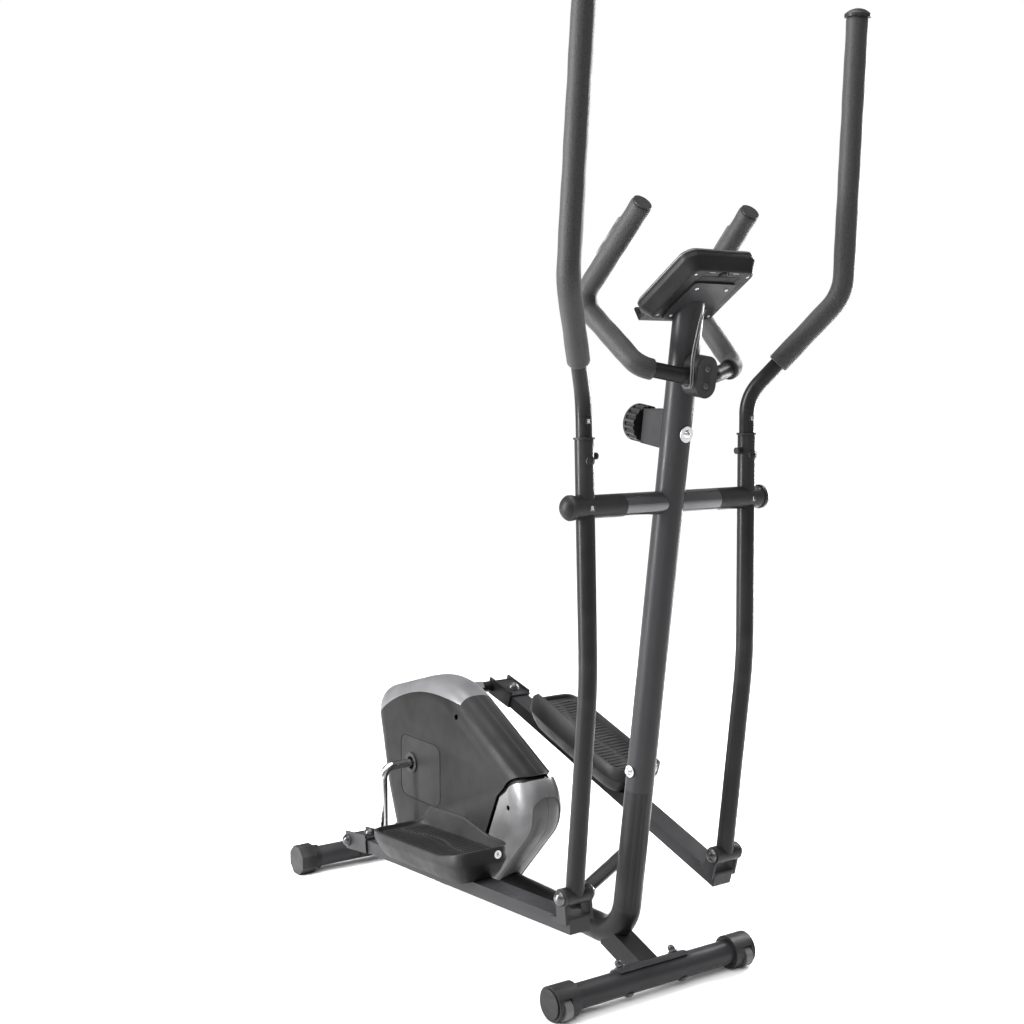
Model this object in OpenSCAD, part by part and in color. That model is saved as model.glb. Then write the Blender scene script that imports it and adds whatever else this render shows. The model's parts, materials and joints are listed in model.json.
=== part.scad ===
// Elliptical trainer: a leaning mast on a low steel frame, a belt-driven magnetic
// flywheel in a rear housing, two foot plates on pedal bars that join bent cranks to
// swinging arms, and a fixed pulse handlebar under a small console.
// X points to the user's left, Y to the rear, Z up. The user faces -Y.

/* [Linkage] */
// Height of the arm axle above the floor
axle_z = 822; // [780:1:870]
// Distance of each swing arm from the middle plane
arm_x = 170; // [160:1:190]
// Swing arm length from the axle to the lower pivot
arm_len = 621; // [600:1:640]
// Crank radius
crank_r = 133; // [110:1:140]
// Crank spindle distance behind the arm axle
crank_y = 723; // [700:1:760]
// Crank spindle height
crank_z = 249; // [235:1:265]
// Pedal bar length between its two pivots
bar_len = 705; // [690:1:720]

/* [Frame] */
// Mast and main tube diameter
mast_d = 48; // [42:1:54]
// Mast lean angle, forwards
mast_lean = 8; // [6:0.5:10]
// Height of the mast's joint with the frame post
seam_z = 336; // [300:1:380]
// Height of the main tube's centre line
main_z = 68; // [66:1:76]
// Bend radius of the main tube at the post's foot
main_bend = 75; // [60:1:90]
// Tube wall thickness
wall = 1.8; // [1.5:0.1:2.5]
// Stabilizer tube diameter
stab_d = 42; // [38:1:46]
// Stabilizer end cap diameter
cap_d = 57; // [52:1:62]
// Half length of the front stabilizer, over its caps
stab_half = 214; // [200:1:280]
// Front stabilizer distance behind the arm axle
front_y = 32; // [0:1:50]
// Rear stabilizer distance behind the arm axle
rear_y = 908; // [900:1:960]
// Transport wheel diameter
wheel_d = 36; // [30:1:40]

/* [Swing arms] */
// Lower arm tube diameter
arm_d = 30; // [28:1:34]
// Upper handle tube diameter
handle_d = 25.4; // [22:0.2:26]
// Foam grip diameter on the handles
foam_d = 36; // [32:1:40]
// Outward step of the upper handle
handle_out = 108; // [80:1:130]
// Handle height above the arm axle
handle_top = 775; // [650:1:850]
// Pivot sleeve diameter on the axle
sleeve_d = 37; // [34:1:40]
// Axle rod diameter
axle_d = 16; // [14:1:18]

/* [Pedals] */
// Pedal bar width
bar_w = 40; // [36:1:44]
// Pedal bar height
bar_h = 24; // [22:1:30]
// Foot plate length
plate_l = 300; // [280:1:310]
// Foot plate width
plate_w = 122; // [110:1:130]
// Foot plate height over the bar
plate_h = 60; // [50:1:64]
// Crank rod diameter
crank_d = 17; // [15:1:19]
// Distance of the crank rods from the middle plane
rod_x = 113; // [108:1:118]

/* [Drive] */
// Housing half width
hous_x = 47; // [46:1:54]
// Housing wall thickness
hous_wall = 2.5; // [2:0.1:3]
// Drive pulley radius
pulley_r = 102; // [90:1:106]
// Flywheel radius
fly_r = 104; // [90:1:106]
// Flywheel centre behind the arm axle
fly_y = 500; // [490:1:505]
// Flywheel centre height
fly_z = 208; // [204:1:215]

/* [Console and handlebar] */
// Console width
con_w = 148; // [130:1:180]
// Console length
con_l = 150; // [135:1:180]
// Console tilt from level
con_tilt = 33; // [25:1:40]
// Handlebar tube diameter
bar_tube_d = 25; // [22:1:28]
// Handlebar foam diameter
grip_d = 34; // [30:1:38]
// Height of the handlebar clamp
clamp_z = 1024; // [1000:1:1040]
// Height of the tension knob
knob_z = 935; // [900:1:960]
// Tension knob diameter
knob_d = 62; // [50:1:70]

/* [Hidden] */
$fn = 48;

// Sides: the user's right is at -X, the left at +X
RIGHT = -1;
LEFT = 1;

// Clearances
gap = 0.3;
run_fit = 0.05;

// Linkage in the YZ plane, with the right crank straight down
axle = [0, axle_z];
crank_c = [crank_y, crank_z];
function pin(side) = crank_c + [0, side * crank_r];
// Lower pivot: where the arm's circle meets the bar's circle, in front of the cranks
function meet(a, ra, b, rb) =
    let (d = norm(b - a), u = (b - a) / d, k = (d * d + ra * ra - rb * rb) / (2 * d))
    a + k * u + sqrt(ra * ra - k * k) * [u[1], -u[0]];
function low_pivot(side) = meet(axle, arm_len, pin(side), bar_len);
function arm_angle(side) =
    let (v = low_pivot(side) - axle) atan2(v[0], -v[1]);
function bar_angle(side) =
    let (v = pin(side) - low_pivot(side)) atan2(v[1], v[0]);

// Middle of the trainer's length, for the frame's origin
handle_y = -84;
function swing(p, angle) =
    [p[0] * cos(angle) - p[1] * sin(angle), p[0] * sin(angle) + p[1] * cos(angle)];
front_end = min(swing([handle_y - 4, handle_top], arm_angle(LEFT))[0] - foam_d / 2 - 3,
    swing([handle_y - 4, handle_top], arm_angle(RIGHT))[0] - foam_d / 2 - 3);
rear_end = rear_y + cap_d / 2;
mid_y = (front_end + rear_end) / 2;

function mast_y(z) = (axle_z - z) * tan(mast_lean);
cap_r = cap_d / 2;
stab_z = cap_r;
stab_r = stab_d / 2;
mast_r = mast_d / 2;

// ---- General shapes ----

// Place children with their Z axis from a towards b
module aim(a, b) {
    v = b - a;
    translate(a)
        rotate([0, acos(v[2] / norm(v)), atan2(v[1], v[0])])
            children();
}

module rod(a, b, r) {
    aim(a, b)
        cylinder(h = norm(b - a), r = r);
}

// Cylinder along X
module xcyl(r, x0, x1) {
    translate([x0, 0, 0])
        rotate([0, 90, 0])
            cylinder(h = x1 - x0, r = r);
}

// Cylinder along Y
module ycyl(r, y0, y1) {
    translate([0, y0, 0])
        rotate([-90, 0, 0])
            cylinder(h = y1 - y0, r = r);
}

function unit(v) = v / norm(v);
// Length that a bend of radius R takes from each straight at point i
function cut_back(pts, i, R) =
    i == 0 || i == len(pts) - 1 ? 0 :
    let (c = unit(pts[i] - pts[i - 1]) * unit(pts[i + 1] - pts[i]))
    R * tan(acos(c) / 2);

// Round bar along a list of points, with round bends a hair thicker than the straights
elbow = 0.06;
module bent_rod(pts, R, r, grow = elbow) {
    last = len(pts) - 2;
    for (i = [0 : last]) {
        d = unit(pts[i + 1] - pts[i]);
        rod(pts[i] + d * (cut_back(pts, i, R) - (i > 0 ? 1 : 0)),
            pts[i + 1] - d * (cut_back(pts, i + 1, R) - (i < last ? 1 : 0)), r);
    }
    for (i = [1 : len(pts) - 2]) {
        d1 = unit(pts[i] - pts[i - 1]);
        d2 = unit(pts[i + 1] - pts[i]);
        n = unit(d2 - d1 * (d1 * d2));
        c = pts[i] - d1 * cut_back(pts, i, R) + n * R;
        e3 = cross(-n, d1);
        multmatrix([[-n[0], d1[0], e3[0], c[0]],
            [-n[1], d1[1], e3[1], c[1]],
            [-n[2], d1[2], e3[2], c[2]],
            [0, 0, 0, 1]])
            rotate_extrude(angle = acos(d1 * d2))
                translate([R, 0])
                    circle(r = r + grow);
    }
}

// The same path, longer by e at both ends
function longer(pts, e) =
    let (n = len(pts) - 1)
    [for (i = [0 : n])
        i == 0 ? pts[0] - unit(pts[1] - pts[0]) * e :
        i == n ? pts[n] + unit(pts[n] - pts[n - 1]) * e : pts[i]];

module bent_tube(pts, R, r, r_in) {
    difference() {
        bent_rod(pts, R, r);
        bent_rod(longer(pts, 1), R, r_in);
    }
}

// Domed cap on a disc, along +Z
module dome(r, h) {
    intersection() {
        translate([0, 0, h - (r * r + h * h) / (2 * h)])
            sphere(r = (r * r + h * h) / (2 * h));
        cylinder(h = h, r = r);
    }
}

module rounded_square(w, l, r) {
    hull()
        for (x = [-1, 1], y = [-1, 1])
            translate([x * (w / 2 - r), y * (l / 2 - r)])
                circle(r = r, $fn = 32);
}

// Everything is drawn with Y counted from the arm axle and moved here to the middle
module place() {
    translate([0, -mid_y, 0])
        children();
}

// ---- Frame ----

// The main tube's foot: where the post's line meets the main tube's line
foot = [0, mast_y(main_z), main_z];
post_top = [0, mast_y(seam_z), seam_z];
rear_tube_y = rear_y - 62;
saddle_r = stab_r + 0.2;
saddle_t = 3.5;
bolt_hole = 4.2;
bolt_r = 4;
saddle_half = 74;
saddle_bolt = 58;

module main_path(r, extra, grow = elbow) {
    bent_rod(longer([post_top, foot, [0, rear_tube_y, main_z]], extra), main_bend, r, grow);
}

// Curved plate over a stabilizer, centred on the direction angle from +Y
module saddle(angle) {
    rotate([angle, 0, 0])
        difference() {
            xcyl(saddle_r + saddle_t, -saddle_half, saddle_half);
            translate([-saddle_half - 1, -60, -60])
                cube([2 * saddle_half + 2, 60 + 0.57 * stab_r, 120]);
            for (s = [-1, 1])
                translate([s * saddle_bolt, 0, 0])
                    ycyl(bolt_hole, 0, 60);
        }
}

front_dir = 55;
rear_dir = 150;
box_w = 38;
brace_r = 12;
brace_z = 235;
shell_r = 22;
bearing_r = 18;
fork_x = 37;
fork_t = 4;
flywheel_pin = 6;
side_bolt_z = seam_z + 35;
magnet_low = 70;
magnet_pivot = [fly_y - (fly_r + 8) * cos(magnet_low), fly_z - (fly_r + 8) * sin(magnet_low)];
magnet_x = 16;
magnet_pin = 4;
spigot_r = mast_r - wall - 0.3;

module main_frame() {
    color([0.10, 0.10, 0.11])
    difference() {
        union() {
            difference() {
                main_path(mast_r, 0);
                main_path(mast_r - wall, 30, 0.3);
            }
            // Spigot inside the mast
            rod(post_top - 28 * mast_dir, post_top + 70 * mast_dir, spigot_r);
            rod(post_top - 30 * mast_dir, post_top - 2 * mast_dir, mast_r - wall + 0.2);
            // Brace strut between the post and the main tube
            rod([0, mast_y(brace_z), brace_z], [0, mast_y(brace_z) + 185, main_z + 8], brace_r);
            // Box bracket down to the front stabilizer
            front_box();
            translate([0, front_y, stab_z])
                saddle(front_dir);
            rear_box();
            translate([0, rear_y, stab_z])
                saddle(rear_dir);
            // Spindle shell on its post
            translate([0, crank_y, crank_z])
                xcyl(shell_r, -12, 34);
            translate([-6, crank_y - shell_r + 1, main_z + mast_r - 6])
                cube([34, 2 * shell_r - 2, crank_z - main_z - mast_r - 8]);
            fork();
            magnet_lug();
        }
        rod(post_top - 32 * mast_dir, post_top + 72 * mast_dir, spigot_r - wall);
        translate([0, front_y, stab_z])
            xcyl(saddle_r, -400, 400);
        translate([0, rear_y, stab_z])
            xcyl(saddle_r, -400, 400);
        translate([0, crank_y, crank_z])
            xcyl(bearing_r, -14, 36);
        translate([0, mast_y(side_bolt_z), side_bolt_z])
            xcyl(bolt_hole, -60, 60);
        translate([0, fly_y, fly_z])
            xcyl(flywheel_pin, -60, 60);
        translate([0, magnet_pivot[0], magnet_pivot[1]])
            xcyl(magnet_pin, -60, 60);
    }
}

mast_dir = [0, -sin(mast_lean), cos(mast_lean)];

module front_box() {
    top = [0, foot[1] + 34, main_z];
    bottom = [0, front_y, stab_z];
    d = top - bottom;
    translate(bottom)
        rotate([atan2(d[2], d[1]), 0, 0])
            translate([-box_w / 2, 0, -19])
                cube([box_w, norm(d), 38]);
}

module rear_box() {
    start = [0, rear_tube_y - 30, main_z];
    end = [0, rear_y, stab_z];
    d = end - start;
    translate(start)
        rotate([atan2(d[2], d[1]), 0, 0])
            translate([-box_w / 2, 0, -17])
                cube([box_w, norm(d), 34]);
}

// Two plates that carry the flywheel's axle, on a cross strip over the main tube
module fork() {
    for (x = [-fork_x - fork_t / 2, fork_x - fork_t / 2]) {
        translate([x, fly_y - 13, main_z + mast_r - 8])
            cube([fork_t, 26, fly_z - main_z - mast_r + 8]);
        translate([0, fly_y, fly_z])
            xcyl(15, x, x + fork_t);
    }
    translate([-fork_x, fly_y - 13, main_z + mast_r - 8])
        cube([2 * fork_x, 26, 9]);
}

module magnet_lug() {
    for (x = [magnet_x - 20, magnet_x + 12.8]) {
        translate([x, magnet_pivot[0] - 5, main_z + mast_r - 10])
            cube([3.2, 10, magnet_pivot[1] - main_z - mast_r + 10]);
        translate([0, magnet_pivot[0], magnet_pivot[1]])
            xcyl(6.5, x, x + 3.2);
    }
    translate([magnet_x - 20, magnet_pivot[0] - 5, main_z + mast_r - 10])
        cube([36, 10, 9.5]);
}

module stabilizer(y, half) {
    translate([0, y, stab_z])
        difference() {
            xcyl(stab_r, -half, half);
            xcyl(stab_r - wall, -half - 1, half + 1);
            for (s = [-1, 1])
                translate([s * saddle_bolt, 0, 0])
                    rotate([y == front_y ? front_dir : rear_dir, 0, 0])
                        ycyl(bolt_hole, -stab_r - 1, stab_r + 1);
        }
}

module front_stabilizer() {
    color([0.11, 0.11, 0.12])
        stabilizer(front_y, front_tube_half);
}

module rear_stabilizer() {
    color([0.11, 0.11, 0.12])
        stabilizer(rear_y, stab_half - 4);
}

// Wheel seat in a front cap: the wheel's axis is along X, low on the front side
cap_l = 46;
wheel_w = 14;
wheel_x = stab_half - 19;
wheel_y = front_y - 14.5;
wheel_r = wheel_d / 2;
wheel_z = wheel_r + 3.5;
wheel_pin = 3;
wheel_slot = wheel_w / 2 + 1.2;
front_tube_half = wheel_x - wheel_slot - 2.5;

// Drawn for the left side
module front_cap() {
    difference() {
        translate([0, front_y, stab_z]) {
            xcyl(cap_r - 4, stab_half - 4, stab_half);
            xcyl(cap_r, stab_half - cap_l, stab_half - 3);
        }
        translate([0, front_y, stab_z])
            xcyl(stab_r + 0.1, stab_half - cap_l - 1, front_tube_half + 0.1);
        // Slot for the transport wheel
        translate([wheel_x - wheel_slot, wheel_y - 40, wheel_z - wheel_r - 1.5])
            cube([2 * wheel_slot, 40, wheel_d + 3]);
        translate([0, wheel_y, wheel_z])
            xcyl(wheel_r + 1.6, wheel_x - wheel_slot, wheel_x + wheel_slot);
        translate([0, wheel_y, wheel_z])
            xcyl(wheel_pin, wheel_x - wheel_slot - 1, wheel_x + wheel_slot + 1);
    }
}

module front_caps() {
    color([0.09, 0.09, 0.10])
        for (side = [RIGHT, LEFT])
            mirror([side > 0 ? 0 : 1, 0, 0])
                front_cap();
}

module transport_wheel(side) {
    color([0.62, 0.62, 0.63])
        translate([0, wheel_y, wheel_z])
            difference() {
                xcyl(wheel_r, side * wheel_x - wheel_w / 2, side * wheel_x + wheel_w / 2);
                xcyl(wheel_pin + run_fit, side * wheel_x - wheel_w, side * wheel_x + wheel_w);
            }
}

// Eight-sided levelling caps, stepped down to a collar on the tube
module rear_caps() {
    color([0.09, 0.09, 0.10])
        for (side = [RIGHT, LEFT])
            translate([0, rear_y, stab_z])
                mirror([side > 0 ? 0 : 1, 0, 0])
                    difference() {
                        union() {
                            translate([stab_half - 34, 0, 0])
                                rotate([22.5, 0, 0])
                                    rotate([0, 90, 0])
                                        cylinder(h = 34, r = cap_r / cos(22.5), $fn = 8);
                            xcyl(stab_r + 3.5, stab_half - 48, stab_half - 33);
                        }
                        xcyl(stab_r + 0.1, stab_half - 50, stab_half - 4);
                    }
}

// Carriage bolts with domed nuts through the saddles, and the wheels' pins
module stabilizer_bolts() {
    color([0.25, 0.25, 0.26]) {
        for (e = [[front_y, front_dir], [rear_y, rear_dir]], s = [-1, 1])
            translate([s * saddle_bolt, e[0], stab_z])
                rotate([e[1], 0, 0]) {
                    ycyl(bolt_r, -stab_r - 2, stab_r + 11);
                    translate([0, -stab_r - 0.2, 0])
                        rotate([90, 0, 0])
                            dome(9, 4);
                    translate([0, saddle_r + saddle_t + 0.3, 0])
                        rotate([-90, 0, 0]) {
                            cylinder(h = 1.6, r = 9);
                            cylinder(h = 8, r = 6.5, $fn = 6);
                            translate([0, 0, 8])
                                dome(6, 5);
                        }
                }
        for (side = [RIGHT, LEFT])
            translate([0, wheel_y, wheel_z])
                xcyl(wheel_pin, side * wheel_x - wheel_slot - 1, side * wheel_x + wheel_slot + 1);
    }
}

// ---- Mast ----

con_mid = [0, -60, axle_z + 346];
con_back = 26;
bracket_t = 3;
mast_top_z = con_mid[2];

module console_frame() {
    translate(con_mid)
        rotate([-con_tilt, 0, 0])
            children();
}

module mast() {
    color([0.10, 0.10, 0.11])
    difference() {
        rod([0, mast_y(seam_z + 0.3), seam_z + 0.3], [0, mast_y(mast_top_z), mast_top_z], mast_r);
        rod([0, mast_y(seam_z - 9), seam_z - 9], [0, mast_y(mast_top_z + 9), mast_top_z + 9],
            mast_r - wall);
        console_frame()
            translate([-100, -100, -con_back - bracket_t])
                cube([200, 300, 200]);
        translate([0, 0, axle_z])
            xcyl(sleeve_d / 2, -60, 60);
        translate([0, mast_y(side_bolt_z), side_bolt_z])
            xcyl(bolt_hole, -60, 60);
        translate([0, mast_y(knob_z), knob_z])
            rotate([mast_lean, 0, 0])
                ycyl(bolt_hole, -60, 60);
        for (dz = [-clamp_step, clamp_step])
            translate([0, mast_y(clamp_on + dz), clamp_on + dz])
                rotate([mast_lean, 0, 0])
                    ycyl(clamp_screw + 0.2, -60, 0);
    }
}

clamp_step = 13;
clamp_screw = 3;
module mast_bolts() {
    color([0.70, 0.70, 0.71]) {
        // Side bolt of the mast joint
        translate([0, mast_y(side_bolt_z), side_bolt_z])
            for (s = [-1, 1])
                mirror([s > 0 ? 0 : 1, 0, 0]) {
                    xcyl(bolt_r, s > 0 ? 0 : -0.01, mast_r + 8);
                    xcyl(10, mast_r + 0.1, mast_r + 2);
                    translate([mast_r + 2, 0, 0])
                        rotate([0, 90, 0])
                            dome(7, 6);
                }
        // Bolt of the knob bracket, through the mast
        translate([0, mast_y(knob_z), knob_z])
            rotate([mast_lean, 0, 0]) {
                ycyl(bolt_r, -mast_r - 4, mast_r + 2);
                ycyl(13, -mast_r - 2, -mast_r - 0.1);
                translate([0, -mast_r - 2, 0])
                    rotate([90, 0, 0])
                        dome(7, 5);
            }
        // Clamp bolts with socket heads, sunk in the cover
        for (dz = [-clamp_step, clamp_step])
            translate([0, mast_y(clamp_on + dz), clamp_on + dz])
                rotate([mast_lean, 0, 0])
                    difference() {
                        union() {
                            ycyl(clamp_screw, -mast_r - bar_tube_d - 4, -mast_r + 6);
                            ycyl(5, -mast_r - bar_tube_d - 9, -mast_r - bar_tube_d - 4);
                        }
                        rotate([90, 0, 0])
                            translate([0, 0, mast_r + bar_tube_d + 6])
                                cylinder(h = 9, r = 2.6, $fn = 6);
                    }
    }
}

// Axle tube through the mast; the spacers are its bright ends
arm_in = arm_x - 71;
sleeve_out = arm_x + 26;
spacer_r = axle_d / 2 + 3;
module crossbar() {
    color([0.16, 0.16, 0.17])
        translate([0, 0, axle_z])
            difference() {
                xcyl(sleeve_d / 2, -arm_in + gap, arm_in - gap);
                xcyl(spacer_r, -arm_in - 1, arm_in + 1);
            }
}

module arm_axle() {
    color([0.55, 0.55, 0.57])
        translate([0, 0, axle_z]) {
            xcyl(axle_d / 2, -sleeve_out - 4, sleeve_out + 4);
            for (s = [-1, 1])
                mirror([s > 0 ? 0 : 1, 0, 0])
                    difference() {
                        xcyl(spacer_r - 0.02, 30, arm_in - gap);
                        xcyl(axle_d / 2, 20, arm_in + 1);
                    }
        }
}

module axle_caps() {
    color([0.10, 0.10, 0.11])
        for (s = [-1, 1])
            translate([0, 0, axle_z])
                mirror([s > 0 ? 0 : 1, 0, 0])
                    difference() {
                        union() {
                            xcyl(20, sleeve_out + gap, sleeve_out + 6);
                            translate([sleeve_out + 6, 0, 0])
                                rotate([0, 90, 0])
                                    dome(20, 13);
                        }
                        xcyl(axle_d / 2, sleeve_out - 1, sleeve_out + 4.2);
                    }
}

// ---- Housing ----

// Lobes of the housing's side view: centre behind the axle, height, radius
lobes = [[815, 330, 60], [650, 235, 198], [402, 235, 80], [515, 115, 80], [742, 97, 62]];

module side_view(inset) {
    hull()
        for (c = lobes)
            translate([c[0], c[1]])
                circle(r = c[2] - inset, $fn = 64);
}

// Closed form of the housing, less a skin; the shoulders roll in towards the sides
module pod(skin) {
    half = hous_x - skin;
    hull()
        for (s = [[0, 0], [0.45, 3], [0.75, 12], [0.92, 25], [1, 42]])
            for (m = [-1, 1])
                translate([m > 0 ? half * s[0] : -half * s[0] - 0.02, 0, 0])
                    rotate([90, 0, 90])
                        linear_extrude(0.02)
                            side_view(s[1] + skin);
}

// Regions of the side view that the grey covers take
module extruded_region() {
    translate([-100, 0, 0])
        rotate([90, 0, 90])
            linear_extrude(200)
                children();
}

cover_gap = 0.5;
top_arc = [635, 50, 353];
module top_region(g) {
    difference() {
        translate([556 + g, 200])
            square([400, 300]);
        translate([top_arc[0], top_arc[1]])
            circle(r = top_arc[2] + g, $fn = 180);
    }
}

module front_region(g) {
    polygon([[200, -20], [200, 283 - g], [400 - g, 283 - g], [512 - g * 1.4, 34], [530 - g * 1.4, -20]]);
}

module bottom_region(g) {
    difference() {
        translate([300, -20])
            square([700, 118 - g]);
        front_region(-g);
    }
}

module shell() {
    difference() {
        pod(0);
        pod(hous_wall);
        // Way for the main tube, and for the crank spindle
        main_path(mast_r + 1, 30);
        rear_box_space();
        translate([0, crank_y, crank_z])
            xcyl(16, -100, 100);
    }
}

module rear_box_space() {
    translate([-box_w / 2 - 1, rear_tube_y - 30, main_z - mast_r - 4])
        cube([box_w + 2, 200, mast_d + 8]);
}

module housing_half(side) {
    difference() {
        intersection() {
            shell();
            translate([side > 0 ? 0.2 : -100.2, 200, 0])
                cube([100, 800, 500]);
        }
        extruded_region()
            top_region(0);
        extruded_region()
            front_region(0);
        extruded_region()
            bottom_region(0);
        // Step over the front cover
        translate([-100, 0, 0])
            rotate([90, 0, 90])
                linear_extrude(200)
                    polygon([[300, 283], [300, 306], [392, 306], [392, 283]]);
        translate([side * (hous_x - 1.2), crank_y, crank_z])
            difference() {
                translate([-0.6, -75, -70])
                    cube([1.2, 160, 150]);
                translate([-1, -73.5, -68.5])
                    cube([2, 157, 147]);
            }
    }
}

module housing_right() {
    color([0.12, 0.12, 0.13])
        housing_half(RIGHT);
}

module housing_left() {
    color([0.12, 0.12, 0.13])
        housing_half(LEFT);
}

module cover_from_region() {
    intersection() {
        shell();
        extruded_region()
            children();
    }
}

module top_cover() {
    color([0.45, 0.45, 0.46])
        cover_from_region()
            top_region(cover_gap);
}

module front_cover() {
    color([0.45, 0.45, 0.46])
        cover_from_region()
            front_region(cover_gap);
}

module bottom_cover() {
    color([0.42, 0.42, 0.43])
        cover_from_region()
            bottom_region(cover_gap);
}

screw_spots = [[559, 372], [380, 236], [536, 62], [763, 70]];
module housing_screws() {
    color([0.2, 0.2, 0.2])
        for (p = screw_spots, s = [-1, 1])
            translate([s * (hous_x - 14), p[0], p[1]])
                xcyl(3.2, -5, 5);
}

module crank_rings() {
    color([0.20, 0.20, 0.21])
        for (s = [-1, 1])
            translate([0, crank_y, crank_z])
                mirror([s > 0 ? 0 : 1, 0, 0])
                    difference() {
                        union() {
                            xcyl(20.5, hous_x + 0.1, hous_x + 3);
                            xcyl(15.8, hous_x - 4, hous_x + 3);
                        }
                        xcyl(13, hous_x - 5, hous_x + 4);
                    }
}

// ---- Drive ----

module crank_bearings() {
    color([0.6, 0.6, 0.62])
        for (x = [-12, 24])
            translate([0, crank_y, crank_z])
                difference() {
                    xcyl(bearing_r, x, x + 10);
                    xcyl(crank_d / 2 + run_fit, x - 1, x + 11);
                }
}

// One bent rod: right arm down, left arm up, with an eye at each end
eye_r = 13;
eye_half = 8.5;
module crank() {
    color([0.80, 0.80, 0.82])
        union() {
            bent_rod([[-rod_x, crank_y, crank_z - crank_r],
                [-rod_x, crank_y, crank_z],
                [rod_x, crank_y, crank_z],
                [rod_x, crank_y, crank_z + crank_r]], 22, crank_d / 2);
            for (s = [-1, 1])
                translate([0, crank_y, crank_z + s * crank_r])
                    xcyl(eye_r, s * rod_x - eye_half, s * rod_x + eye_half);
        }
}

module crank_caps() {
    color([0.10, 0.10, 0.11])
        for (s = [-1, 1])
            translate([0, crank_y, crank_z + s * crank_r])
                mirror([s > 0 ? 0 : 1, 0, 0]) {
                    translate([rod_x - eye_half, 0, 0])
                        rotate([0, -90, 0]) {
                            cylinder(h = 4, r = 11);
                            translate([0, 0, 4])
                                dome(11, 8);
                        }
                    xcyl(9, rod_x + eye_half, rod_x + eye_half + 2.5);
                }
}

belt_x = -24;
belt_w = 8;
hub_r = 15;
module drive_pulley() {
    color([0.16, 0.16, 0.17])
        translate([0, crank_y, crank_z])
            difference() {
                union() {
                    xcyl(pulley_r, belt_x - 5, belt_x + 5);
                    xcyl(pulley_r + 3, belt_x - 6.5, belt_x - 4.5);
                    xcyl(20, belt_x - 9, belt_x + 9);
                }
                xcyl(crank_d / 2, belt_x - 20, belt_x + 20);
                for (a = [0 : 60 : 300])
                    rotate([a, 0, 0])
                        translate([0, 60, 0])
                            xcyl(20, belt_x - 20, belt_x + 20);
            }
}

// Flat loop around the pulley and the flywheel's hub
module belt_outline(e) {
    hull() {
        translate([crank_y, crank_z])
            circle(r = pulley_r + e, $fn = 128);
        translate([fly_y, fly_z])
            circle(r = hub_r + e, $fn = 64);
    }
}

module drive_belt() {
    color([0.08, 0.08, 0.08])
        translate([belt_x - belt_w / 2 + 0.4, 0, 0])
            rotate([90, 0, 90])
                linear_extrude(belt_w - 0.8)
                    difference() {
                        belt_outline(2.4);
                        belt_outline(0.4);
                    }
}

fly_x = 14;
fly_w = 26;
module flywheel() {
    color([0.62, 0.62, 0.64])
        translate([0, fly_y, fly_z])
            difference() {
                union() {
                    difference() {
                        xcyl(fly_r, fly_x - fly_w / 2, fly_x + fly_w / 2);
                        for (s = [-1, 1])
                            translate([fly_x + s * 14, 0, 0])
                                difference() {
                                    xcyl(fly_r - 20, -8, 8);
                                    xcyl(26, -9, 9);
                                }
                    }
                    xcyl(hub_r, belt_x - 6, fly_x);
                    xcyl(hub_r + 3, belt_x - 7.5, belt_x - 5.5);
                }
                xcyl(flywheel_pin + run_fit, -60, 60);
            }
}

module flywheel_axle() {
    color([0.7, 0.7, 0.72]) {
        translate([0, magnet_pivot[0], magnet_pivot[1]])
            xcyl(magnet_pin, magnet_x - 21.5, magnet_x + 18.5);
        translate([0, fly_y, fly_z]) {
            xcyl(flywheel_pin, -fork_x - 5, fork_x + 5);
            for (x = [-fork_x - 5.2, fork_x + 2.2])
                rotate([0, 90, 0])
                    translate([0, 0, x])
                        cylinder(h = 3, r = 8, $fn = 6);
        }
    }
}

module magnet_bracket() {
    color([0.35, 0.35, 0.37]) {
        difference() {
            translate([0, fly_y, fly_z])
                rotate([0, 90, 0])
                    translate([0, 0, magnet_x - 12])
                        arc_band();
            translate([0, magnet_pivot[0], magnet_pivot[1]])
                xcyl(magnet_pin + run_fit, -60, 60);
        }
        translate([0, magnet_pivot[0], magnet_pivot[1]])
            difference() {
                xcyl(7, magnet_x - 12.4, magnet_x + 12.4);
                xcyl(magnet_pin + run_fit, -60, 60);
            }
    }
}

// Band of steel around the flywheel's front, with magnet blocks on its inside.
// Drawn in a plane whose X is down and whose Y is to the rear.
module arc_band() {
    linear_extrude(24)
        difference() {
            intersection() {
                circle(r = fly_r + 10, $fn = 180);
                polygon([[0, 0], 300 * [sin(magnet_low), -cos(magnet_low)], 420 * [0.2, -1],
                    300 * [-sin(38), -cos(38)]]);
            }
            circle(r = fly_r + 6, $fn = 180);
        }
    for (a = [-25, -5, 15])
        rotate([0, 0, a])
            translate([-9, -fly_r - 8, 2])
                cube([18, 4.5, 20]);
}

// ---- Tension knob ----

module knob_frame() {
    translate([0, mast_y(knob_z), knob_z])
        rotate([mast_lean, 0, 0])
            children();
}

bracket_len = 52;
knob_pin = 4;
module knob_bracket() {
    color([0.14, 0.14, 0.15])
        knob_frame()
            difference() {
                union() {
                    translate([-19, mast_r - 10, -28])
                        cube([38, bracket_len + 10 - 14, 56]);
                    ycyl(13, mast_r + bracket_len - 16, mast_r + bracket_len - 6);
                }
                translate([0, 0, -60])
                    cylinder(h = 120, r = mast_r + 0.1);
                ycyl(bolt_r, mast_r - 9, mast_r + 3);
                ycyl(knob_pin + run_fit, mast_r + bracket_len - 40, mast_r + bracket_len);
            }
}

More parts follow.
